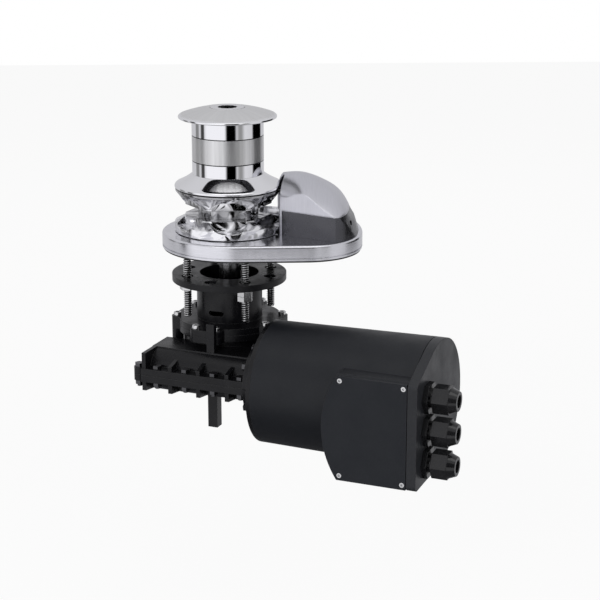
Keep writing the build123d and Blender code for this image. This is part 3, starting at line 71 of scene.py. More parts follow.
def add_node(tree, kind, settings=None, inputs=None):
    """One node with its settings, its values and its wires."""
    node = tree.nodes.new(kind)
    for name, value in (settings or {}).items():
        setattr(node, name, value)
    for name, value in (inputs or {}).items():
        if isinstance(value, bpy.types.NodeSocket):
            tree.links.new(value, node.inputs[name])
        else:
            node.inputs[name].default_value = value
    return node


def calculate(tree, operation, first, second=0.0, third=0.0):
    """The result of one sum, with wires or numbers."""
    inputs = {0: first, 1: second, 2: third}
    return add_node(tree, "ShaderNodeMath", {"operation": operation}, inputs).outputs[0]


def remap(tree, value, start, end, low=0.0, high=1.0, smooth=False):
    """A value moved from one range to another and held at its ends."""
    settings = {"interpolation_type": "SMOOTHSTEP"} if smooth else {}
    inputs = {"Value": value, "From Min": start, "From Max": end, "To Min": low, "To Max": high}
    return add_node(tree, "ShaderNodeMapRange", settings, inputs).outputs[0]


def blend(tree, share, first, second):
    """One colour changed into another by a share."""
    inputs = {0: share, 6: first, 7: second}
    return add_node(tree, "ShaderNodeMix", {"data_type": "RGBA"}, inputs).outputs[2]


def part_of(tree, place, axis):
    """One coordinate of a place."""
    return add_node(tree, "ShaderNodeSeparateXYZ", None, {0: place}).outputs[axis]


def glowing(name, strength):
    """An empty material with a white glow for a card or a lamp's face."""
    material = bpy.data.materials.new(name)
    material.use_nodes = True
    material.node_tree.nodes.clear()
    inputs = {"Color": (1, 1, 1, 1), "Strength": strength}
    return material, add_node(material.node_tree, "ShaderNodeEmission", None, inputs)


def mirror_only(piece):
    """Keeps a studio piece out of everything but reflections."""
    piece.visible_camera = piece.visible_diffuse = piece.visible_shadow = False
    piece.visible_transmission = piece.visible_volume_scatter = False


surround = bpy.data.worlds.new("surround")
scene.world = surround
surround.use_nodes = True
tree = surround.node_tree
tree.nodes.clear()
toward = add_node(tree, "ShaderNodeTexCoord").outputs["Generated"]
forward = calculate(tree, "MULTIPLY", part_of(tree, toward, "Y"), -1.0)
bearing = calculate(tree, "ARCTAN2", part_of(tree, toward, "X"), forward)
around = calculate(tree, "MULTIPLY_ADD", bearing, 0.5 / math.pi, 0.5)
tones = add_node(tree, "ShaderNodeValToRGB", None, {0: around})
ramp = tones.color_ramp
ramp.elements[0].position = 0
ramp.elements[0].color = BEHIND_TONE
ramp.elements[1].position = 1
ramp.elements[1].color = BEHIND_TONE
for degrees, tone in TONES_AROUND:
    stop = ramp.elements.new((degrees + 180) / 360)
    stop.color = (tone, tone, tone * 1.03, 1)
upward = part_of(tree, toward, "Z")
overhead = remap(tree, upward, 0.25, 0.75, smooth=True)
below = remap(tree, upward, -0.34, -0.6, smooth=True)
mirrored = blend(tree, below, blend(tree, overhead, tones.outputs[0], OVERHEAD_TONE), FLOOR_TONE)
ray = add_node(tree, "ShaderNodeLightPath")
seen, reflected, lighting = [
    add_node(tree, "ShaderNodeBackground", None, {"Color": colour, "Strength": strength})
    for colour, strength in (((1, 1, 1, 1), 1.0), (mirrored, 1.0), ((1, 1, 1, 1), DAYLIGHT))
]
shiny = add_node(
    tree, "ShaderNodeMixShader", None,
    {0: ray.outputs["Is Glossy Ray"], 1: lighting.outputs[0], 2: reflected.outputs[0]},
)
plain = calculate(tree, "MAXIMUM", ray.outputs["Is Camera Ray"], ray.outputs["Is Transmission Ray"])
light_mix = add_node(
    tree, "ShaderNodeMixShader", None, {0: plain, 1: shiny.outputs[0], 2: seen.outputs[0]}
)
add_node(tree, "ShaderNodeOutputWorld", None, {"Surface": light_mix.outputs[0]})

bpy.ops.mesh.primitive_plane_add(size=FLOOR_SIZE, location=(0, 0, FLOOR_HEIGHT))
floor = bpy.context.object
floor.name = "floor"
floor.visible_glossy = False
floor_paint, glow = glowing("pale_floor", 1.0)
tree = floor_paint.node_tree
ray = add_node(tree, "ShaderNodeLightPath")
matt = add_node(tree, "ShaderNodeBsdfDiffuse", None, {"Color": (0.85, 0.85, 0.85, 1)})
shown = calculate(tree, "MULTIPLY", ray.outputs["Is Camera Ray"], FLOOR_GLOW)
floor_mix = add_node(
    tree, "ShaderNodeMixShader", None, {0: shown, 1: matt.outputs[0], 2: glow.outputs[0]}
)
add_node(tree, "ShaderNodeOutputMaterial", None, {"Surface": floor_mix.outputs[0]})
floor.data.materials.append(floor_paint)

for name, bearing, width, tone, soft in CARDS:
    card_tone, shade = glowing(name, tone)
    tree = card_tone.node_tree
    place = add_node(tree, "ShaderNodeTexCoord").outputs["Generated"]
    off_centre = calculate(tree, "ABSOLUTE", calculate(tree, "SUBTRACT", part_of(tree, place, "X"), 0.5))
    fade = remap(tree, off_centre, 0.5 - soft, 0.5, smooth=True)
    open_air = add_node(tree, "ShaderNodeBsdfTransparent")
    card_mix = add_node(
        tree, "ShaderNodeMixShader", None, {0: fade, 1: shade.outputs[0], 2: open_air.outputs[0]}
    )
    add_node(tree, "ShaderNodeOutputMaterial", None, {"Surface": card_mix.outputs[0]})
    turned_by = math.radians(bearing)
    across, away = CARD_DISTANCE * math.sin(turned_by), -CARD_DISTANCE * math.cos(turned_by)
    bpy.ops.mesh.primitive_plane_add(
        size=1, location=(across, away, (CARD_FOOT + CARD_TOP) / 2), rotation=(math.pi / 2, 0, turned_by)
    )
    card = bpy.context.object
    card.name = name
    card.scale = (2 * CARD_DISTANCE * math.tan(math.radians(width / 2)), CARD_TOP - CARD_FOOT, 1)
    card.data.materials.append(card_tone)
    mirror_only(card)

bpy.ops.mesh.primitive_plane_add(size=1, location=(0.1, -0.62, 1.35), rotation=(math.radians(-20), 0, 0))
softbox = bpy.context.object
softbox.name = "softbox"
softbox.scale = (1.6, 0.85, 1)
box_glow, glow = glowing("softbox", 1.7)
add_node(box_glow.node_tree, "ShaderNodeOutputMaterial", None, {"Surface": glow.outputs[0]})
softbox.data.materials.append(box_glow)
mirror_only(softbox)

for name, place, size, power in LAMPS:
    bpy.ops.object.light_add(type="AREA", location=place)
    lamp = bpy.context.object
    lamp.name = name
    lamp.data.size = size
    lamp.data.energy = power
    lamp.rotation_euler = Vector(place).to_track_quat("Z", "Y").to_euler()
    lamp.visible_glossy = False

# Deck base: one casting in polished and satin chrome, a broad rim round a plain top, with a
# fine groove near its foot. A soft black sheet lies under it and a bronze bush sits in its hub.
MERGE_DISTANCE, LEVELLING_WEIGHT = 2e-6, 100


def new_group(name, wants, gives):
    """A shared surface effect as a node group, with its named inputs and outputs."""
    group = bpy.data.node_groups.new(name, "ShaderNodeTree")
    for title, kind, value in wants:
        socket = group.interface.new_socket(title, in_out="INPUT", socket_type=kind)
        socket.default_value = value
    for title, kind in gives:
        group.interface.new_socket(title, in_out="OUTPUT", socket_type=kind)
    return group, group.nodes.new("NodeGroupInput"), group.nodes.new("NodeGroupOutput")


def use_group(tree, group, inputs=None):
    """Places a shared effect in a material with the material's own values."""
    node = tree.nodes.new("ShaderNodeGroup")
    node.node_tree = group
    for name, value in (inputs or {}).items():
        if isinstance(value, bpy.types.NodeSocket):
            tree.links.new(value, node.inputs[name])
        else:
            node.inputs[name].default_value = value
    return node


NUMBER, DIRECTION = "NodeSocketFloat", "NodeSocketVector"

# Smudges: the uneven shine that hands and cloths leave on metal and plastic
smudges, given, result = new_group(
    "smudges", [("Place", DIRECTION, (0, 0, 0)), ("Low", NUMBER, 0.1), ("High", NUMBER, 0.2)],
    [("Roughness", NUMBER)],
)
cloud = add_node(
    smudges, "ShaderNodeTexNoise", None,
    {"Vector": given.outputs["Place"], "Scale": 38.0, "Detail": 4.0, "Roughness": 0.6},
)
patch = remap(smudges, cloud.outputs[0], 0.35, 0.68)
spread = remap(smudges, patch, 0.0, 1.0, given.outputs["Low"], given.outputs["High"])
smudges.links.new(spread, result.inputs["Roughness"])

# Brush lines: fine scratches that run along the piece's height or across it
brush_lines, given, result = new_group(
    "brush_lines",
    [("Place", DIRECTION, (0, 0, 0)), ("Stretch", DIRECTION, (1, 1, 1)), ("Fineness", NUMBER, 900.0)],
    [("Height", NUMBER), ("Streak", NUMBER)],
)
drawn = add_node(
    brush_lines, "ShaderNodeVectorMath", {"operation": "MULTIPLY"},
    {0: given.outputs["Place"], 1: given.outputs["Stretch"]},
)
fine = add_node(
    brush_lines, "ShaderNodeTexNoise", None,
    {"Vector": drawn.outputs[0], "Scale": given.outputs["Fineness"], "Detail": 3.0},
)
coarse_scale = calculate(brush_lines, "MULTIPLY", given.outputs["Fineness"], 0.22)
coarse = add_node(
    brush_lines, "ShaderNodeTexNoise", None,
    {"Vector": drawn.outputs[0], "Scale": coarse_scale, "Detail": 2.0},
)
both = calculate(brush_lines, "MULTIPLY_ADD", coarse.outputs[0], 0.5, 0.0)
total = calculate(brush_lines, "MULTIPLY_ADD", fine.outputs[0], 0.5, both)
brush_lines.links.new(total, result.inputs["Height"])
brush_lines.links.new(coarse.outputs[0], result.inputs["Streak"])

# Hollows: a mask for painted shade where a surface folds inwards
hollows, given, result = new_group("hollows", [("Reach", NUMBER, 0.06)], [("Mask", NUMBER)])
fold = add_node(hollows, "ShaderNodeNewGeometry")
deep = calculate(hollows, "SUBTRACT", 0.5, given.outputs["Reach"])
hollow = remap(hollows, fold.outputs["Pointiness"], 0.497, deep)
hollows.links.new(hollow, result.inputs["Mask"])


def new_finish(name, colour, metal, rough):
    """A material with its shader's plain values, its object coordinates and its shader."""
    material = bpy.data.materials.new(name)
    material.use_nodes = True
    tree = material.node_tree
    shader = tree.nodes["Principled BSDF"]
    shader.inputs["Base Color"].default_value = (*colour, 1)
    shader.inputs["Metallic"].default_value = metal
    shader.inputs["Roughness"].default_value = rough
    place = add_node(tree, "ShaderNodeTexCoord").outputs["Object"]
    return material, tree, shader, place


def wear(tree, shader, place, low, high):
    """The smudges of use between two roughness values."""
    worn = use_group(tree, smudges, {"Place": place, "Low": low, "High": high})
    tree.links.new(worn.outputs["Roughness"], shader.inputs["Roughness"])


def round_edges(tree, shader, radius, height=None, depth=0.0, distance=0.0):
    """Softens sharp edges by the given radius and adds the surface's own relief."""
    eased = add_node(tree, "ShaderNodeBevel", {"samples": 4}, {"Radius": radius}).outputs[0]
    if height is not None:
        inputs = {"Strength": depth, "Distance": distance, "Height": height, "Normal": eased}
        eased = add_node(tree, "ShaderNodeBump", None, inputs).outputs[0]
    tree.links.new(eased, shader.inputs["Normal"])


STREAK_SHADE = 0.86


def brushed_metal(name, colour, low, high, stretch, fineness=900.0, depth=0.25, edge=0.0004, hollow_shade=0.0):
    """Metal with fine brush lines, the smudges of use and painted shade in its hollows."""
    material, tree, shader, place = new_finish(name, colour, 1.0, low)
    wear(tree, shader, place, low, high)
    lines = use_group(tree, brush_lines, {"Place": place, "Stretch": stretch, "Fineness": fineness})
    dark = [value * STREAK_SHADE for value in colour]
    tone = blend(tree, lines.outputs["Streak"], (*dark, 1), (*colour, 1))
    # Painted shade: the hollows mask darkens the colour towards near-black by the hollow_shade share.
    folds = use_group(tree, hollows, {"Reach": 0.10})
    share = calculate(tree, "MULTIPLY", folds.outputs["Mask"], hollow_shade)
    tree.links.new(blend(tree, share, tone, (0.03, 0.03, 0.032, 1)), shader.inputs["Base Color"])
    round_edges(tree, shader, edge, lines.outputs["Height"], depth, 0.0001)
    return material


def coat(node, material):
    """Gives a CAD piece that stays as it is its finish."""
    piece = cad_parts[node]
    piece.data.materials.clear()
    piece.data.materials.append(material)


def dress(node, body, material, angle=28):
    """A merged copy of a CAD piece with smooth curves, in place of the CAD piece itself."""
    bpy.ops.object.select_all(action="DESELECT")
    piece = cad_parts[node].copy()
    piece.data = piece.data.copy()
    for key in [key for key in piece.keys() if key.startswith("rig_")]:
        del piece[key]
    piece.parent = None
    piece.name = piece.data.name = node + "_dressed"
    scene.collection.objects.link(piece)
    piece.select_set(True)
    bpy.context.view_layer.objects.active = piece
    piece.data.materials.clear()
    bpy.ops.object.mode_set(mode="EDIT")
    bpy.ops.mesh.select_all(action="SELECT")
    bpy.ops.mesh.customdata_custom_splitnormals_clear()
    bpy.ops.mesh.remove_doubles(threshold=MERGE_DISTANCE)
    bpy.ops.object.mode_set(mode="OBJECT")
    finish_piece(piece, body, material, angle, node)


def finish_piece(piece, body, material, angle, node):
    """Shades a finished piece, puts it on the body that carries it and hides the CAD piece it replaces."""
    bpy.ops.object.select_all(action="DESELECT")
    piece.select_set(True)
    bpy.context.view_layer.objects.active = piece
    bpy.ops.object.transform_apply(location=True, rotation=True, scale=True)
    bpy.ops.object.shade_smooth_by_angle(angle=math.radians(angle))
    levelling = piece.modifiers.new("levelling", "WEIGHTED_NORMAL")
    levelling.keep_sharp = True
    levelling.weight = LEVELLING_WEIGHT
    bpy.ops.object.modifier_apply(modifier="levelling")
    piece.data.materials.clear()
    piece.data.materials.append(material)
    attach(piece, body)
    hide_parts(node)


rim_chrome = brushed_metal("rim_chrome", (0.80, 0.80, 0.84), 0.16, 0.26, (1, 1, 24), 260.0, 0.12)
base_rubber, tree, shader, place = new_finish("base_rubber", (0.018, 0.018, 0.018), 0.0, 0.75)
wear(tree, shader, place, 0.6, 0.85)
bronze = brushed_metal("bronze", (0.62, 0.44, 0.20), 0.22, 0.38, (1, 1, 20), 700.0)
dress("base", "frame", rim_chrome)
coat("base_gasket", base_rubber)
coat("shaft_bush", bronze)
coat("shaft_seal", base_rubber)

# Deck studs: four threaded steel rods that reach from the base through the deck and the ring,
# each with a plain washer and a chamfered hexagon nut under the ring, the front one with a lock nut.
STUD_ANGLES = [20 + 90 * quarter for quarter in range(4)]
STUD_CIRCLE_RADIUS, STUD_RADIUS, STUD_FOOT, STUD_TOP = 0.055, 0.00495, -0.0856, 0.0005
THREAD_PITCH, THREAD_DEPTH, GROOVE_RADIUS = 0.0028, 0.0012, 0.0046
NUT_WIDTH, NUT_BORE = 0.017, 0.0051
UPPER_NUT_FOOT, UPPER_NUT_TOP, LOCK_NUT_FOOT, LOCK_NUT_TOP = -0.0504, -0.0441, -0.0569, -0.0506


def threaded_rod(name, radius, low, high, pitch, depth):
    """A rod with a rolled thread, wound as a helix from one turn of its profile."""
    bpy.ops.object.select_all(action="DESELECT")
    bpy.ops.mesh.primitive_plane_add(size=pitch, location=(0, 0, 0))
    rod = bpy.context.object
    rod.name = rod.data.name = name
    bpy.ops.object.mode_set(mode="EDIT")
    shape = bmesh.from_edit_mesh(rod.data)
    bmesh.ops.delete(shape, geom=shape.verts[:], context="VERTS")
    root = radius - depth
    crest = [(root, 0), (root, 0.3), (radius, 0.5), (radius, 0.8), (root, 1)]
    points = [shape.verts.new((reach, 0, low + share * pitch)) for reach, share in crest]
    for first, second in zip(points, points[1:]):
        shape.edges.new((first, second))
    bmesh.update_edit_mesh(rod.data)
    bpy.ops.object.mode_set(mode="OBJECT")
    winding = rod.modifiers.new("winding", "SCREW")
    winding.steps = winding.render_steps = 20
    winding.iterations = int((high - low) / pitch) - 1
    winding.screw_offset = pitch
    winding.use_merge_vertices = True
    winding.merge_threshold = 1e-6
    bpy.ops.object.modifier_apply(modifier="winding")
    bpy.ops.object.mode_set(mode="EDIT")
    bpy.ops.mesh.select_all(action="SELECT")
    bpy.ops.mesh.remove_doubles(threshold=MERGE_DISTANCE)
    bpy.ops.mesh.fill_holes(sides=0)
    bpy.ops.mesh.normals_make_consistent(inside=False)
    bpy.ops.object.mode_set(mode="OBJECT")
    return rod


def spread_copies(piece, name, places):
    """Copies a modelled piece to each place, joins the copies and drops the pattern piece."""
    copies = []
    for placing in places:
        twin = piece.copy()
        twin.data = piece.data.copy()
        twin.data.transform(placing)
        scene.collection.objects.link(twin)
        copies.append(twin)
    bpy.data.objects.remove(piece)
    bpy.ops.object.select_all(action="DESELECT")
    for twin in copies:
        twin.select_set(True)
    bpy.context.view_layer.objects.active = copies[0]
    if len(copies) > 1:
        bpy.ops.object.join()
    joined = bpy.context.view_layer.objects.active
    joined.name = joined.data.name = name
    return joined


stud_places = [
    Matrix.Rotation(math.radians(angle), 4, "Z") @ Matrix.Translation((STUD_CIRCLE_RADIUS, 0, 0))
    for angle in STUD_ANGLES
]
bright_steel = brushed_metal(
    "bright_steel", (0.72, 0.72, 0.72), 0.14, 0.26, (1, 1, 6), 800.0, 0.15, hollow_shade=0.9
)
# Near-black metal for painted shade in the thread roots.
thread_root_shade = brushed_metal("thread_root_shade", (0.035, 0.035, 0.036), 0.4, 0.6, (1, 1, 6), 800.0, 0.15)
rod = threaded_rod("stud", STUD_RADIUS, STUD_FOOT, STUD_TOP, THREAD_PITCH, THREAD_DEPTH)
studs = spread_copies(rod, "threaded_studs", stud_places)
finish_piece(studs, "frame", bright_steel, 40, "deck_studs")
studs.data.materials.append(thread_root_shade)
# Painted shade: thread roots and the flanks that do not face up take the near-black metal.
for face in studs.data.polygons:
    from_axis = min((face.center.xy - placing.translation.xy).length for placing in stud_places)
    if from_axis < GROOVE_RADIUS and face.normal.z < 0.3:
        face.material_index = 1


def cut_with(piece, cutter, operation):
    """Cuts a piece with another one, which is then removed."""
    cutting = piece.modifiers.new("cutting", "BOOLEAN")
    cutting.operation = operation
    cutting.object = cutter
    cutting.solver = "EXACT"
    bpy.context.view_layer.objects.active = piece
    bpy.ops.object.modifier_apply(modifier="cutting")
    bpy.data.objects.remove(cutter)


def hex_nut(name, across, low, high, bore):
    """A hexagon nut with turned chamfers on its upper corners and a plain bore."""
    corner, tall, middle = across / math.sqrt(3), high - low, (high + low) / 2
    bpy.ops.object.select_all(action="DESELECT")
    bpy.ops.mesh.primitive_cylinder_add(vertices=6, radius=corner, depth=tall, location=(0, 0, middle))
    nut = bpy.context.object
    nut.name = nut.data.name = name
    bpy.ops.object.transform_apply(location=True)
    bpy.ops.mesh.primitive_cone_add(
        vertices=48, radius1=corner + tall * 0.9, radius2=across / 2 * 0.96,
        depth=tall + 0.002, location=(0, 0, middle + 0.001),
    )
    outer = bpy.context.object
    bpy.ops.object.transform_apply(location=True)
    cut_with(nut, outer, "INTERSECT")
    bpy.ops.mesh.primitive_cylinder_add(vertices=32, radius=bore, depth=tall * 3, location=(0, 0, middle))
    drill = bpy.context.object
    bpy.ops.object.transform_apply(location=True)
    cut_with(nut, drill, "DIFFERENCE")
    return nut


nut = hex_nut("stud_nut", NUT_WIDTH, UPPER_NUT_FOOT, UPPER_NUT_TOP, NUT_BORE)
nuts = spread_copies(nut, "upper_nuts", stud_places)
lock_nut = hex_nut("lock_nut", NUT_WIDTH, LOCK_NUT_FOOT, LOCK_NUT_TOP, NUT_BORE)
spread_copies(lock_nut, "front_nut", stud_places[3:])
nuts.select_set(True)
bpy.ops.object.join()
stud_nuts = bpy.context.view_layer.objects.active
stud_nuts.name = stud_nuts.data.name = "hexagon_nuts"
finish_piece(stud_nuts, "frame", bright_steel, 25, "stud_nuts")
coat("stud_washers", bright_steel)

# Gypsy and its lower cone: the chain wheel is an investment casting with six link pockets,
# polished all over, so its uneven skin breaks every reflection up.
# Its colour carries painted dark reflection patches, painted shade in its hollows and painted shade under
# the cone's overhang.
gypsy_chrome, tree, shader, place = new_finish("gypsy_chrome", (0.70, 0.70, 0.72), 1.0, 0.08)
wear(tree, shader, place, 0.05, 0.18)
folds = use_group(tree, hollows, {"Reach": 0.12})
ripple = add_node(
    tree, "ShaderNodeTexNoise", None, {"Vector": place, "Scale": 50.0, "Detail": 1.2, "Distortion": 0.5}
)
# Painted reflection: dark noise patches stand in for what the polished casting mirrors.
painted_reflection_patches = remap(tree, ripple.outputs[0], 0.50, 0.62, 0.0, 0.6)
# Painted shade: darker towards the top, under the cone's overhang.
under_cone_shade = remap(tree, part_of(tree, place, "Z"), 0.058, 0.073, 0.0, 0.62)
patches_and_shade = calculate(tree, "MAXIMUM", painted_reflection_patches, under_cone_shade)
painted_darkening = calculate(tree, "MAXIMUM", folds.outputs["Mask"], patches_and_shade)
tone = blend(tree, painted_darkening, (0.90, 0.90, 0.92, 1), (0.05, 0.05, 0.055, 1))
tree.links.new(tone, shader.inputs["Base Color"])
round_edges(tree, shader, 0.0012, ripple.outputs[0], 0.8, 0.005)
dress("gypsy", "gypsy", gypsy_chrome)
coat("lower_clutch_cone", bright_steel)


def turned(name, outline, steps):
    """A lathe-turned piece: one ring of edges pulled along the outline, then merged and closed."""
    bpy.ops.object.select_all(action="DESELECT")
    radius, height = outline[0]
    bpy.ops.mesh.primitive_circle_add(vertices=steps, radius=radius, location=(0, 0, height))
    piece = bpy.context.object
    piece.name = piece.data.name = name
    bpy.ops.object.transform_apply(location=True)
    bpy.ops.object.mode_set(mode="EDIT")
    bpy.ops.mesh.select_all(action="SELECT")
    for next_radius, next_height in outline[1:]:
        bpy.ops.mesh.extrude_edges_move(TRANSFORM_OT_translate={"value": (0, 0, next_height - height)})
        share = next_radius / radius
        bpy.ops.transform.resize(value=(share, share, 1), center_override=(0, 0, next_height))
        radius, height = next_radius, next_height
    bpy.ops.mesh.select_all(action="SELECT")
    bpy.ops.mesh.remove_doubles(threshold=MERGE_DISTANCE)
    bpy.ops.mesh.normals_make_consistent(inside=False)
    bpy.ops.object.mode_set(mode="OBJECT")
    return piece


# Upper clutch cone: the turned skirt between gypsy and drum, mirror-polished, with a rounded
# rim over the chain wheel.
POLISHED = (0.88, 0.88, 0.90)
PARTING_HEIGHT, PARTING_HALF, LATHE_STEPS = 0.0748, 0.0010, 160
skirt_outline = [
    (0.0436, 0.0743), (0.0644, 0.0745), (0.0653, 0.0748), (0.0657, 0.0755), (0.0658, 0.0768),
    (0.0654, 0.0781), (0.0644, 0.0792), (0.0610, 0.0808), (0.0560, 0.0834), (0.0510, 0.0864),
    (0.0470, 0.0892), (0.0446, 0.0912), (0.0438, 0.0920), (0.0126, 0.0920), (0.0126, 0.0489),
    (0.0200, 0.0489), (0.0200, 0.0558), (0.0327, 0.0558), (0.0436, 0.0743),
]
cone_chrome, tree, shader, place = new_finish("cone_chrome", POLISHED, 1.0, 0.07)
wear(tree, shader, place, 0.05, 0.11)
# Painted shade: a thin near-black band at the parting, in the gap between cone and gypsy.
parting_shade = calculate(tree, "COMPARE", part_of(tree, place, "Z"), PARTING_HEIGHT, PARTING_HALF)
tone = blend(tree, parting_shade, (*POLISHED, 1), (0.02, 0.02, 0.022, 1))
tree.links.new(tone, shader.inputs["Base Color"])
round_edges(tree, shader, 0.0004)
cone = turned("clutch_skirt", skirt_outline, LATHE_STEPS)
finish_piece(cone, "drum", cone_chrome, 34, "upper_clutch_cone")

# Warping drum: turned from a hollow casting. Two fine grooves mark off a brushed middle band
# from the mirror-polished ends, and the domed cap is brushed from its centre outward.
DOME_RADIUS, DOME_CENTRE = 0.1697, 0.0043
LOW_GROOVE, HIGH_GROOVE, GROOVE_HALF = 0.1080, 0.1390, 0.0005
CAP_UNDERSIDE, UNDERSIDE_HALF = 0.1592, 0.0012
drum_chrome, tree, shader, place = new_finish("drum_chrome", POLISHED, 1.0, 0.06)
height = part_of(tree, place, "Z")
out_from_axis = add_node(
    tree, "ShaderNodeVectorMath", {"operation": "MULTIPLY"}, {0: place, 1: (1, 1, 0)}
)
unit = add_node(tree, "ShaderNodeVectorMath", {"operation": "NORMALIZE"}, {0: out_from_axis.outputs[0]})
lifted = add_node(
    tree, "ShaderNodeVectorMath", {"operation": "MULTIPLY_ADD"},
    {0: place, 1: (0, 0, 0.6), 2: unit.outputs[0]},
)
streaks = use_group(tree, brush_lines, {"Place": lifted.outputs[0], "Fineness": 42.0})
above_low = remap(tree, height, 0.1076, 0.1082)
under_high = remap(tree, height, 0.1388, 0.1394, 1.0, 0.0)
on_cap = remap(tree, height, 0.1632, 0.1645)
in_band = calculate(tree, "MULTIPLY", above_low, under_high)
brushed_share = calculate(tree, "MAXIMUM", in_band, on_cap)
worn = use_group(tree, smudges, {"Place": place, "Low": 0.035, "High": 0.08})
brushed_rough = calculate(tree, "MULTIPLY_ADD", streaks.outputs["Height"], 0.20, 0.24)
rough_mix = add_node(
    tree, "ShaderNodeMix", None, {0: brushed_share, 2: worn.outputs["Roughness"], 3: brushed_rough}
)
tree.links.new(rough_mix.outputs[0], shader.inputs["Roughness"])
cap_low = calculate(tree, "MULTIPLY_ADD", on_cap, 0.07, 0.66)
cap_high = calculate(tree, "MULTIPLY_ADD", on_cap, -0.07, 0.86)
streak_tone = remap(tree, streaks.outputs["Streak"], 0.3, 0.7, cap_low, cap_high)
band_tone = add_node(tree, "ShaderNodeCombineColor", None, {0: streak_tone, 1: streak_tone, 2: streak_tone})
tone = blend(tree, brushed_share, (*POLISHED, 1), band_tone.outputs[0])
# Painted shade: near-black lines in both grooves and under the cap's rim.
low_groove = calculate(tree, "COMPARE", height, LOW_GROOVE, GROOVE_HALF)
high_groove = calculate(tree, "COMPARE", height, HIGH_GROOVE, GROOVE_HALF)
under_rim = calculate(tree, "COMPARE", height, CAP_UNDERSIDE, UNDERSIDE_HALF)
grooves = calculate(tree, "MAXIMUM", low_groove, high_groove)
painted_shade_lines = calculate(tree, "MAXIMUM", grooves, under_rim)
shaded_tone = blend(tree, painted_shade_lines, tone, (0.05, 0.05, 0.052, 1))
tree.links.new(shaded_tone, shader.inputs["Base Color"])
relief = calculate(tree, "MULTIPLY", streaks.outputs["Height"], brushed_share)
bump = add_node(tree, "ShaderNodeBump", None, {"Strength": 0.35, "Distance": 0.0002, "Height": relief})
tree.links.new(bump.outputs[0], shader.inputs["Normal"])
dome = [
    (radius, DOME_CENTRE + math.sqrt(DOME_RADIUS**2 - radius**2))
    for radius in (0.0222, 0.0280, 0.0340, 0.0400, 0.0460, 0.0520, 0.0560, 0.0585)
]
drum_outline = [
    (0.0213, 0.1580), (0.0213, 0.1719), (0.0215, 0.1724), *dome, (0.0595, 0.1629), (0.0600, 0.1623),
    (0.0601, 0.1613), (0.0599, 0.1604), (0.0592, 0.1600), (0.0456, 0.1600), (0.0444, 0.1596),
    (0.0438, 0.1585), (0.0438, 0.1582), (0.0438, 0.1396), (0.0433, 0.1393), (0.0433, 0.1387),
    (0.0438, 0.1384), (0.0438, 0.1086), (0.0433, 0.1083), (0.0433, 0.1077), (0.0438, 0.1074),
    (0.0438, 0.0921), (0.0378, 0.0921), (0.0378, 0.1540), (0.0220, 0.1540), (0.0220, 0.0921),
    (0.0126, 0.0921), (0.0126, 0.1300), (0.0178, 0.1300), (0.0178, 0.1580), (0.0213, 0.1580),
]
drum = turned("warping_drum", drum_outline, LATHE_STEPS)
finish_piece(drum, "drum", drum_chrome, 34, "drum")

# Clutch nut and circlip: the bright nut in the cap's hole, with its twelve-point socket.
socket_chrome = brushed_metal("socket_chrome", (0.84, 0.84, 0.86), 0.06, 0.16, (1, 1, 12), 700.0, 0.1)
dress("clutch_nut", "clutch_nut", socket_chrome, 20)
coat("top_circlip", bright_steel)

# Stripper and pressure lever: the polished bar that peels the chain out of the gypsy, and the
# sprung steel arm that presses it in, each on its own post in the base.
dress("stripper", "frame", socket_chrome, 20)
for node in ("stripper_screw", "pressure_lever", "lever_pin", "lever_spring"):
    coat(node, bright_steel)

# Chain cover: a pressed hood in satin chrome over a dark moulded skirt with a small vent
# and a slit, held by two screws from below.
hood_chrome = brushed_metal("hood_chrome", (0.70, 0.70, 0.75), 0.30, 0.38, (18, 1, 1), 240.0, 0.10, 0.0026)
dress("chain_cover", "frame", hood_chrome, 24)
skirt_plastic, tree, shader, place = new_finish("skirt_plastic", (0.09, 0.09, 0.10), 0.8, 0.25)
wear(tree, shader, place, 0.2, 0.34)
round_edges(tree, shader, 0.0006)
dress("cover_skirt", "frame", skirt_plastic, 24)
coat("cover_screws", bright_steel)

# Cast grain: the skin of a sand casting under black paint, and a lighter tone along its edges
cast_skin, given, result = new_group(
    "cast_skin", [("Place", DIRECTION, (0, 0, 0)), ("Grain", NUMBER, 900.0)],
    [("Height", NUMBER), ("Tone", NUMBER)],
)
pits = add_node(
    cast_skin, "ShaderNodeTexVoronoi", {"feature": "SMOOTH_F1"},
    {"Vector": given.outputs["Place"], "Scale": given.outputs["Grain"]},
)
broad_scale = calculate(cast_skin, "MULTIPLY", given.outputs["Grain"], 0.12)
broad = add_node(
    cast_skin, "ShaderNodeTexNoise", None,
    {"Vector": given.outputs["Place"], "Scale": broad_scale, "Detail": 5.0},
)
skin = calculate(cast_skin, "MULTIPLY_ADD", pits.outputs["Distance"], 0.4, broad.outputs[0])
cast_skin.links.new(skin, result.inputs["Height"])
cast_skin.links.new(broad.outputs[0], result.inputs["Tone"])

edge_lightening, given, result = new_group("edge_lightening", [("Width", NUMBER, 0.001)], [("Mask", NUMBER)])
form = add_node(edge_lightening, "ShaderNodeNewGeometry")
eased = add_node(edge_lightening, "ShaderNodeBevel", {"samples": 4}, {"Radius": given.outputs["Width"]})
agreement = add_node(
    edge_lightening, "ShaderNodeVectorMath", {"operation": "DOT_PRODUCT"},
    {0: eased.outputs[0], 1: form.outputs["Normal"]},
)
edge_lightening.links.new(remap(edge_lightening, agreement.outputs["Value"], 0.985, 0.88), result.inputs["Mask"])
PAINT_GLOSS, RUBBED_SHINE = 0.3, 1.35


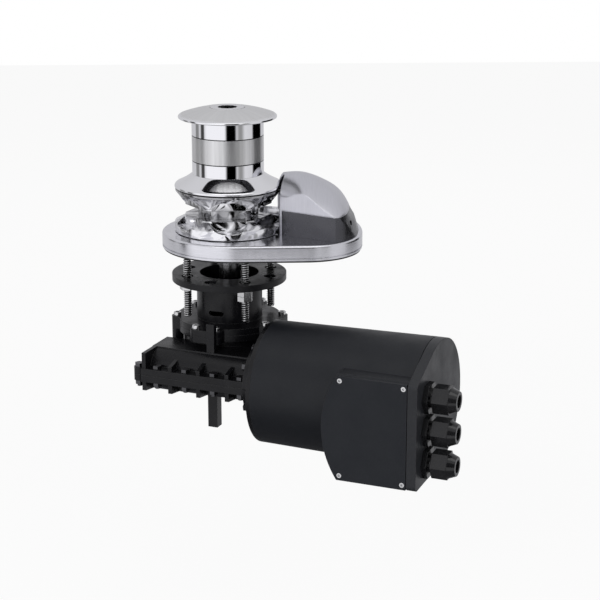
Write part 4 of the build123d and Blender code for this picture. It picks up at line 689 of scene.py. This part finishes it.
def black_paint(name, colour, edge_colour, low, high, grain, depth, edge=0.0009):
    """Black paint on metal: fine grain, uneven gloss and lighter edges."""
    material, tree, shader, place = new_finish(name, colour, 0.0, low)
    shader.inputs["Specular IOR Level"].default_value = PAINT_GLOSS
    skin = use_group(tree, cast_skin, {"Place": place, "Grain": grain})
    wear(tree, shader, place, low, high)
    edge_lighter = use_group(tree, edge_lightening, {"Width": edge})
    light = [value * RUBBED_SHINE for value in colour]
    ground = blend(tree, skin.outputs["Tone"], (*colour, 1), (*light, 1))
    tone = blend(tree, edge_lighter.outputs["Mask"], ground, (*edge_colour, 1))
    tree.links.new(tone, shader.inputs["Base Color"])
    round_edges(tree, shader, edge, skin.outputs["Height"], depth, 0.0004)
    return material


# Tower: the cast ring under the deck on its neck, and the round foot with two ears that eight
# screws hold to the gearcase. Satin black paint over the casting.
casting_black = black_paint(
    "casting_black", (0.004, 0.004, 0.005), (0.03, 0.03, 0.032), 0.24, 0.40, 1100.0, 0.5
)
dress("tower", "frame", casting_black, 24)
DRIVE = Matrix.Rotation(math.radians(-25), 4, "Z")
FOOT_TOP, FOOT_SCREW_PAIRS = -0.090, ((0.060, 0.026), (0.0135, 0.069))


def cap_screw(name, radius, height, socket, shank, length):
    """A socket-head screw: round head with eased rim, a round socket and a plain shank."""
    bpy.ops.object.select_all(action="DESELECT")
    outline = [
        (shank, -length), (shank, 0), (radius, 0), (radius, height * 0.9), (radius * 0.92, height),
        (socket, height), (socket * 0.96, height * 0.45),
    ]
    screw = turned(name, outline, 24)
    bpy.ops.object.mode_set(mode="EDIT")
    bpy.ops.mesh.select_all(action="SELECT")
    bpy.ops.mesh.fill_holes(sides=0)
    bpy.ops.mesh.normals_make_consistent(inside=False)
    bpy.ops.object.mode_set(mode="OBJECT")
    return screw


def drive_place(across, outward, height):
    """A place in the drive group: along the motor, out towards its front, and up."""
    return DRIVE @ Vector((across, -outward, height))


foot_places = [
    Matrix.Translation(drive_place(side * across, end * outward, FOOT_TOP))
    for across, outward in FOOT_SCREW_PAIRS
    for side in (-1, 1)
    for end in (-1, 1)
]
screw = cap_screw("foot_screw", 0.0048, 0.0043, 0.0026, 0.0028, 0.012)
foot_screws = spread_copies(screw, "foot_screws", foot_places)
finish_piece(foot_screws, "frame", bright_steel, 30, "tower_screws")

# Main shaft, keys, bearings and seal: ground steel between gearcase and drum, mostly hidden.
ground_steel = brushed_metal("ground_steel", (0.58, 0.58, 0.60), 0.16, 0.28, (1, 1, 14), 700.0)
for node in ("main_shaft", "shaft_keys", "shaft_bearings", "worm_bearings", "motor_bearings",
             "worm_shaft", "shaft_coupling"):
    coat(node, ground_steel)
coat("gearbox_seal", base_rubber)

# Gearcase: two sand-cast halves bolted through a ribbed band, painted black. The worm wheel
# and the worm run inside in oil, behind a small round end cover.
for node in ("gearcase_upper", "gearcase_lower", "worm_end_cover"):
    dress(node, "frame", casting_black, 24)
blackened_steel = brushed_metal("blackened_steel", (0.10, 0.10, 0.105), 0.25, 0.4, (1, 1, 4), 700.0, 0.2)
for node in ("gearcase_bolts", "gearcase_nuts", "worm_cover_screws"):
    coat(node, blackened_steel)
coat("gearcase_gasket", casting_black)
coat("worm_wheel", bronze)

# Motor adapter: the turned flange between gearcase and motor, in the same black.
dress("motor_adapter", "frame", casting_black, 24)
coat("adapter_screws", blackened_steel)

# Motor housing: the large drawn casing that runs into a square terminal box, in matt slate
# black, with a separate end cover behind a thin seam.
casing_black = black_paint(
    "casing_black", (0.007, 0.008, 0.0105), (0.02, 0.022, 0.026), 0.42, 0.52, 2600.0, 0.12, 0.0014
)
end_black = black_paint(
    "end_black", (0.018, 0.019, 0.022), (0.05, 0.05, 0.055), 0.34, 0.46, 2600.0, 0.12, 0.0010
)
dress("motor_casing", "frame", casing_black, 30)
dress("rear_cover", "frame", end_black, 30)
coat("rear_cover_gasket", base_rubber)

# Inside the motor: iron yoke, magnets and laminated armature, copper commutator and the
# moulded brush gear.
yoke_iron = black_paint("yoke_iron", (0.10, 0.10, 0.105), (0.2, 0.2, 0.2), 0.4, 0.6, 900.0, 0.3)
copper = brushed_metal("copper", (0.72, 0.40, 0.26), 0.2, 0.34, (1, 1, 10), 700.0)
moulded = black_paint("moulded_black", (0.02, 0.02, 0.02), (0.04, 0.04, 0.04), 0.4, 0.55, 1800.0, 0.2)
for node in ("armature", "pole_housing", "field_magnets", "motor_end_shield"):
    coat(node, yoke_iron)
for node in ("commutator", "terminal_studs"):
    coat(node, copper)
for node in ("terminal_block", "brush_holder", "brushes"):
    coat(node, moulded)

# Terminal lid: a plain moulded plate on its gasket, with a screw near each corner.
LID_FRONT, LID_COLUMNS, LID_ROWS = 0.1578, (0.2095, 0.2855), (-0.0998, -0.2142)
lid_slate = black_paint(
    "lid_slate", (0.009, 0.0105, 0.014), (0.03, 0.03, 0.034), 0.40, 0.50, 3200.0, 0.08, 0.0008
)
dress("terminal_lid", "frame", lid_slate, 30)
coat("lid_gasket", base_rubber)
lid_turn = DRIVE @ Matrix.Rotation(math.pi / 2, 4, "X")
lid_places = [
    Matrix.Translation(drive_place(across, LID_FRONT, height)) @ lid_turn
    for across in LID_COLUMNS
    for height in LID_ROWS
]
screw = cap_screw("lid_screw", 0.0031, 0.0020, 0.0014, 0.0018, 0.010)
lid_screws = spread_copies(screw, "lid_screw_heads", lid_places)
finish_piece(lid_screws, "frame", bright_steel, 30, "lid_screws")

# Cable glands: three glossy black plastic glands in the end cover, each a hexagon body, a
# ribbed neck, a domed hexagon nut and a rubber seal in its mouth.
gland_plastic, tree, shader, place = new_finish("gland_plastic", (0.010, 0.010, 0.011), 0.0, 0.16)
wear(tree, shader, place, 0.10, 0.24)
round_edges(tree, shader, 0.0008)
dress("gland_bodies", "frame", gland_plastic, 24)
dress("gland_nuts", "frame", gland_plastic, 24)
coat("gland_locknuts", gland_plastic)
coat("gland_seals", base_rubber)
